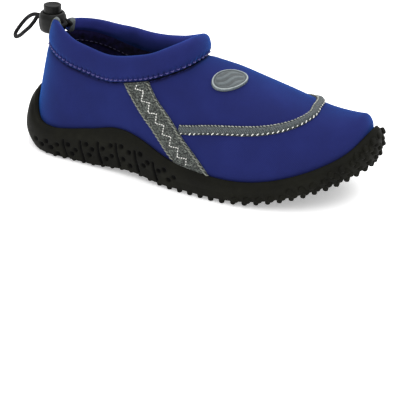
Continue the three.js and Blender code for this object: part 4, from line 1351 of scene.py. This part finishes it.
def make_piping():
    order = np.linspace(0.0, 1.0, 520)
    at, turn = read(PIPING, "at", order, "order"), read(PIPING, "turn", order, "order")
    line = over_point(at, turn)
    keep = np.ones(len(at), bool)
    for side in (-1, 1):
        tape = over_point(*tape_route(side, 300))
        keep &= np.linalg.norm(line[:, None] - tape[None], axis=2).min(axis=1) > TAPE_WIDTH / 2 + GAP + 0.4
    at, turn = at[keep], turn[keep]
    places = spread(at, turn, columns(PIPING_WIDTH, 33))
    strip = ribbon("vamp_piping", "piping", *places, PIPING_WIDTH, GAP, piping_section)
    own(strip, "grey_trim", "piping")
    part = stitch_part("piping_stitch", 1.1, 0.5)
    for name, offset, look, pitch in (("inner", -1, "pale_thread", 1.8), ("outer", 1, "white_thread", 2.6)):
        near = spread(at, turn, np.array([[offset * 2.0]]))
        spots, out, along = row_on(near[0][:, 0], near[1][:, 0], GAP + 0.45, pitch, 0.0, 0.5 * offset)
        seam = repeat(f"piping_stitches_{name}", part, look, spots, out, along, None, 0.25, 0.3, 9)
        own(seam, "grey_trim")


make_piping()


def make_badge():
    at0, turn0, slant = BADGE["at"], BADGE["turn"], math.radians(BADGE["slant"])
    here = over_point(at0, turn0)
    out = unit(over_point(at0, turn0, 1.0) - here)
    across = unit(over_point(at0, turn0 + 0.02) - here)
    ahead = np.cross(across, out)
    radius = np.concatenate([np.linspace(0, 0.8, 30), np.linspace(0.8, 1.0, 16)[1:]])
    angle = np.linspace(0, 2 * np.pi, 97)[:-1]
    p = np.cos(angle)[:, None] * radius[None] * BADGE["length"] / 2
    q = np.sin(angle)[:, None] * radius[None] * BADGE["width"] / 2
    u = p * math.cos(slant) - q * math.sin(slant)
    v = p * math.sin(slant) + q * math.cos(slant)
    inverse = np.linalg.pinv(np.stack(slopes(at0, turn0), -1))
    offset = across[None, None] * u[..., None] + ahead[None, None] * v[..., None]
    delta = offset @ inverse.T
    cloth = np.stack([p, q], -1)
    rim = np.clip((radius[None] - 0.84) / 0.05, 0, 1) ** 2
    edge = np.sqrt(np.clip(1 - np.clip((radius[None] - 0.93) / 0.07, 0, 1) ** 2, 0, 1))
    waves = np.sin((q + 0.9 * np.sin(p / 2.1)) * 2 * np.pi / BADGE["wave_pitch"])
    field = np.clip((0.78 - radius[None]) / 0.06, 0, 1)
    relief = 0.25 * np.clip(waves * 2, 0, 1) * field
    grow = GAP + (1.1 + 0.4 * rim + relief) * edge
    points = over_point(at0 + delta[..., 0], turn0 + delta[..., 1], grow)
    patches = Patches()
    # Painted shade in the ditch inside the rim and between the raised waves, and a painted highlight on the
    # rim
    ditch_shade = np.exp(-(((radius[None] - 0.83) / 0.035) ** 2))
    bright = np.exp(-(((radius[None] - 0.93) / 0.05) ** 2))
    painted_shade = ditch_shade - bright + (0.35 - 0.35 * np.clip(waves * 2, -1, 1)) * field
    patches.add(bend(points), cloth, closed=True, painted_shade=painted_shade)
    return own(patches.piece("oval_badge", ["badge"], close=False), "badge_rubber", "badge")


make_badge()


def lock_piece(name, outline):
    patches = Patches()
    patches.add(revolved(outline, 64) + LOCK_FOOT, closed=True)
    return patches.piece(name, ["plastic"])


def make_lock():
    r, neck, h = BARREL["width"] / 2, BARREL["neck"] / 2, BARREL["height"]
    outline = [
        (0.001, 0),
        (r * 0.78, 0),
        (r * 0.94, 1.4),
        (r, h * 0.45),
        (r * 0.98, h * 0.78),
        (neck, h),
        (BARREL["bore"] / 2, h),
        (BARREL["bore"] / 2, BARREL["floor"]),
        (0.001, BARREL["floor"]),
    ]
    own(lock_piece("cord_lock_barrel", rounded(outline, 0.8)), "black_plastic", "lock_barrel")
    r, top, low = PLUNGER["width"] / 2, h + PLUNGER["proud"], PLUNGER["bottom"]
    outline = [(0.001, low), (r, low), (r, top - 0.2), (r - 0.9, top)]
    outline += [(r - 1.7, top - 0.6), (0.001, top - 0.75)]  # shallow dish under the thumb
    button = lock_piece("cord_lock_plunger", rounded(outline, 0.7))
    own(button, "black_plastic", "lock_plunger", body=BUTTON)


make_lock()


# Held strands of the drawcord, from the lock into the collar's tunnel
BINDING = (0.5, 5.2)  # width outside and inside
FEET = seam_point(ENDS[0] + (ENDS[1] - ENDS[0]) * np.linspace(0, 1, 61), 0)
BAND_LENGTH = np.linalg.norm(np.diff(FEET, axis=0), axis=1).sum()


def tunnel_line(end):
    inward = -1 if end else 1

    def point(share):
        ring = band_rings(np.array([min(max(share, 0), 1)]), np.zeros(1))[0][0]
        foot = (ring[0] + ring[-1]) / 2
        return bend(foot + (ring[len(BAND_PROFILE) + 1] - foot) * 0.5)

    mouth = point(end)
    ahead = unit(point(end + inward * 0.01) - mouth)
    return [mouth - ahead * 1.5, mouth, *(point(end + inward * deep / BAND_LENGTH) for deep in (4, 6.5))]


def make_strands():
    for end, sign, name in ((0, -1, "lateral"), (1, 1, "medial")):
        y = LOCK_FOOT[1] + sign * STRAND
        line = tunnel_line(end)
        front = LOCK_FOOT[0] + BARREL["width"] / 2
        mid = CORD_HEIGHT + (line[0][2] - CORD_HEIGHT) * 0.4
        points = [
            [LOCK_FOOT[0] - BARREL["width"] / 2, y, CORD_HEIGHT],
            [LOCK_FOOT[0], y, CORD_HEIGHT],
            [front - 0.5, y, CORD_HEIGHT],
            [front + 2.2, y + sign * 1.6, mid],
            *line,
        ]
        grid, cloth = tube_grid(smooth_line(points, 120), CORD_SEEN)
        patches = Patches()
        patches.add(grid, cloth)
        own(patches.piece(f"held_strand_{name}", ["braid"]), "elastic_cord", f"cord_{name}")


make_strands()


def make_bindings():
    for end, name in ((0.0, "lateral"), (1.0, "medial")):
        sign = -1 if end else 1
        along = np.linspace(0, 1, 15)
        grow = 0.2 + 0.75 * np.clip(1 - np.abs(along * 2 - 1) ** 6, 0, 1) ** 0.5
        count = 46
        outside, _ = fine_rings(end + sign * along * BINDING[0] / BAND_LENGTH, grow * 0.35, count)
        inside, _ = fine_rings(end + sign * along * BINDING[1] / BAND_LENGTH, grow, count)
        mix = np.clip((np.arange(count) / (count - 1) - 0.42) / 0.12, 0, 1)[None, :, None]
        patches = Patches()
        grid = bend(outside * (1 - mix) + inside * mix)
        patches.add(grid)
        own(patches.piece(f"end_binding_{name}", ["binding"], close=False), "grey_tape", f"binding_{name}")


make_bindings()


# Light and floor
def make_light(name, energy, size, place):
    data = bpy.data.lights.new(name, "AREA")
    data.energy = energy
    data.shape = "RECTANGLE"
    data.size, data.size_y = size
    made = bpy.data.objects.new(name, data)
    made.location = Vector(place)
    made.rotation_mode = "QUATERNION"
    made.rotation_quaternion = (Vector((0, 0, 0.03)) - Vector(place)).to_track_quat("-Z", "Y")
    bpy.context.collection.objects.link(made)


def make_studio():
    bpy.context.scene.view_settings.view_transform = "Standard"
    f = Finish("floor", 0.9)
    f.link(f.ramp(f.noise(f.space(), 0.002, 1.0), [(0.2, "f6f6f6"), (0.8, "fafafa")]), "Base Color")
    f.shader.inputs["Emission Color"].default_value = colour("ffffff")
    f.shader.inputs["Emission Strength"].default_value = 0.36
    mesh = bpy.data.meshes.new("floor")
    mesh.from_pydata([(-4, -4, 0), (4, -4, 0), (4, 4, 0), (-4, 4, 0)], [], [(0, 1, 2, 3)])
    mesh.materials.append(f.material)
    floor = bpy.data.objects.new("floor", mesh)
    bpy.context.collection.objects.link(floor)
    world = bpy.data.worlds.new("studio")
    world.use_nodes = True
    world.node_tree.nodes["Background"].inputs[0].default_value = (1, 1, 1, 1)
    world.node_tree.nodes["Background"].inputs[1].default_value = 0.68
    bpy.context.scene.world = world
    make_light("top_softbox", 15, (1.6, 1.4), (0.2, 0.35, 1.0))
    make_light("heel_light", 1.6, (0.6, 0.6), (-0.8, -0.1, 0.6))
    make_light("front_fill", 5.5, (1.2, 0.8), (0.3, -0.8, 1.1))


make_studio()
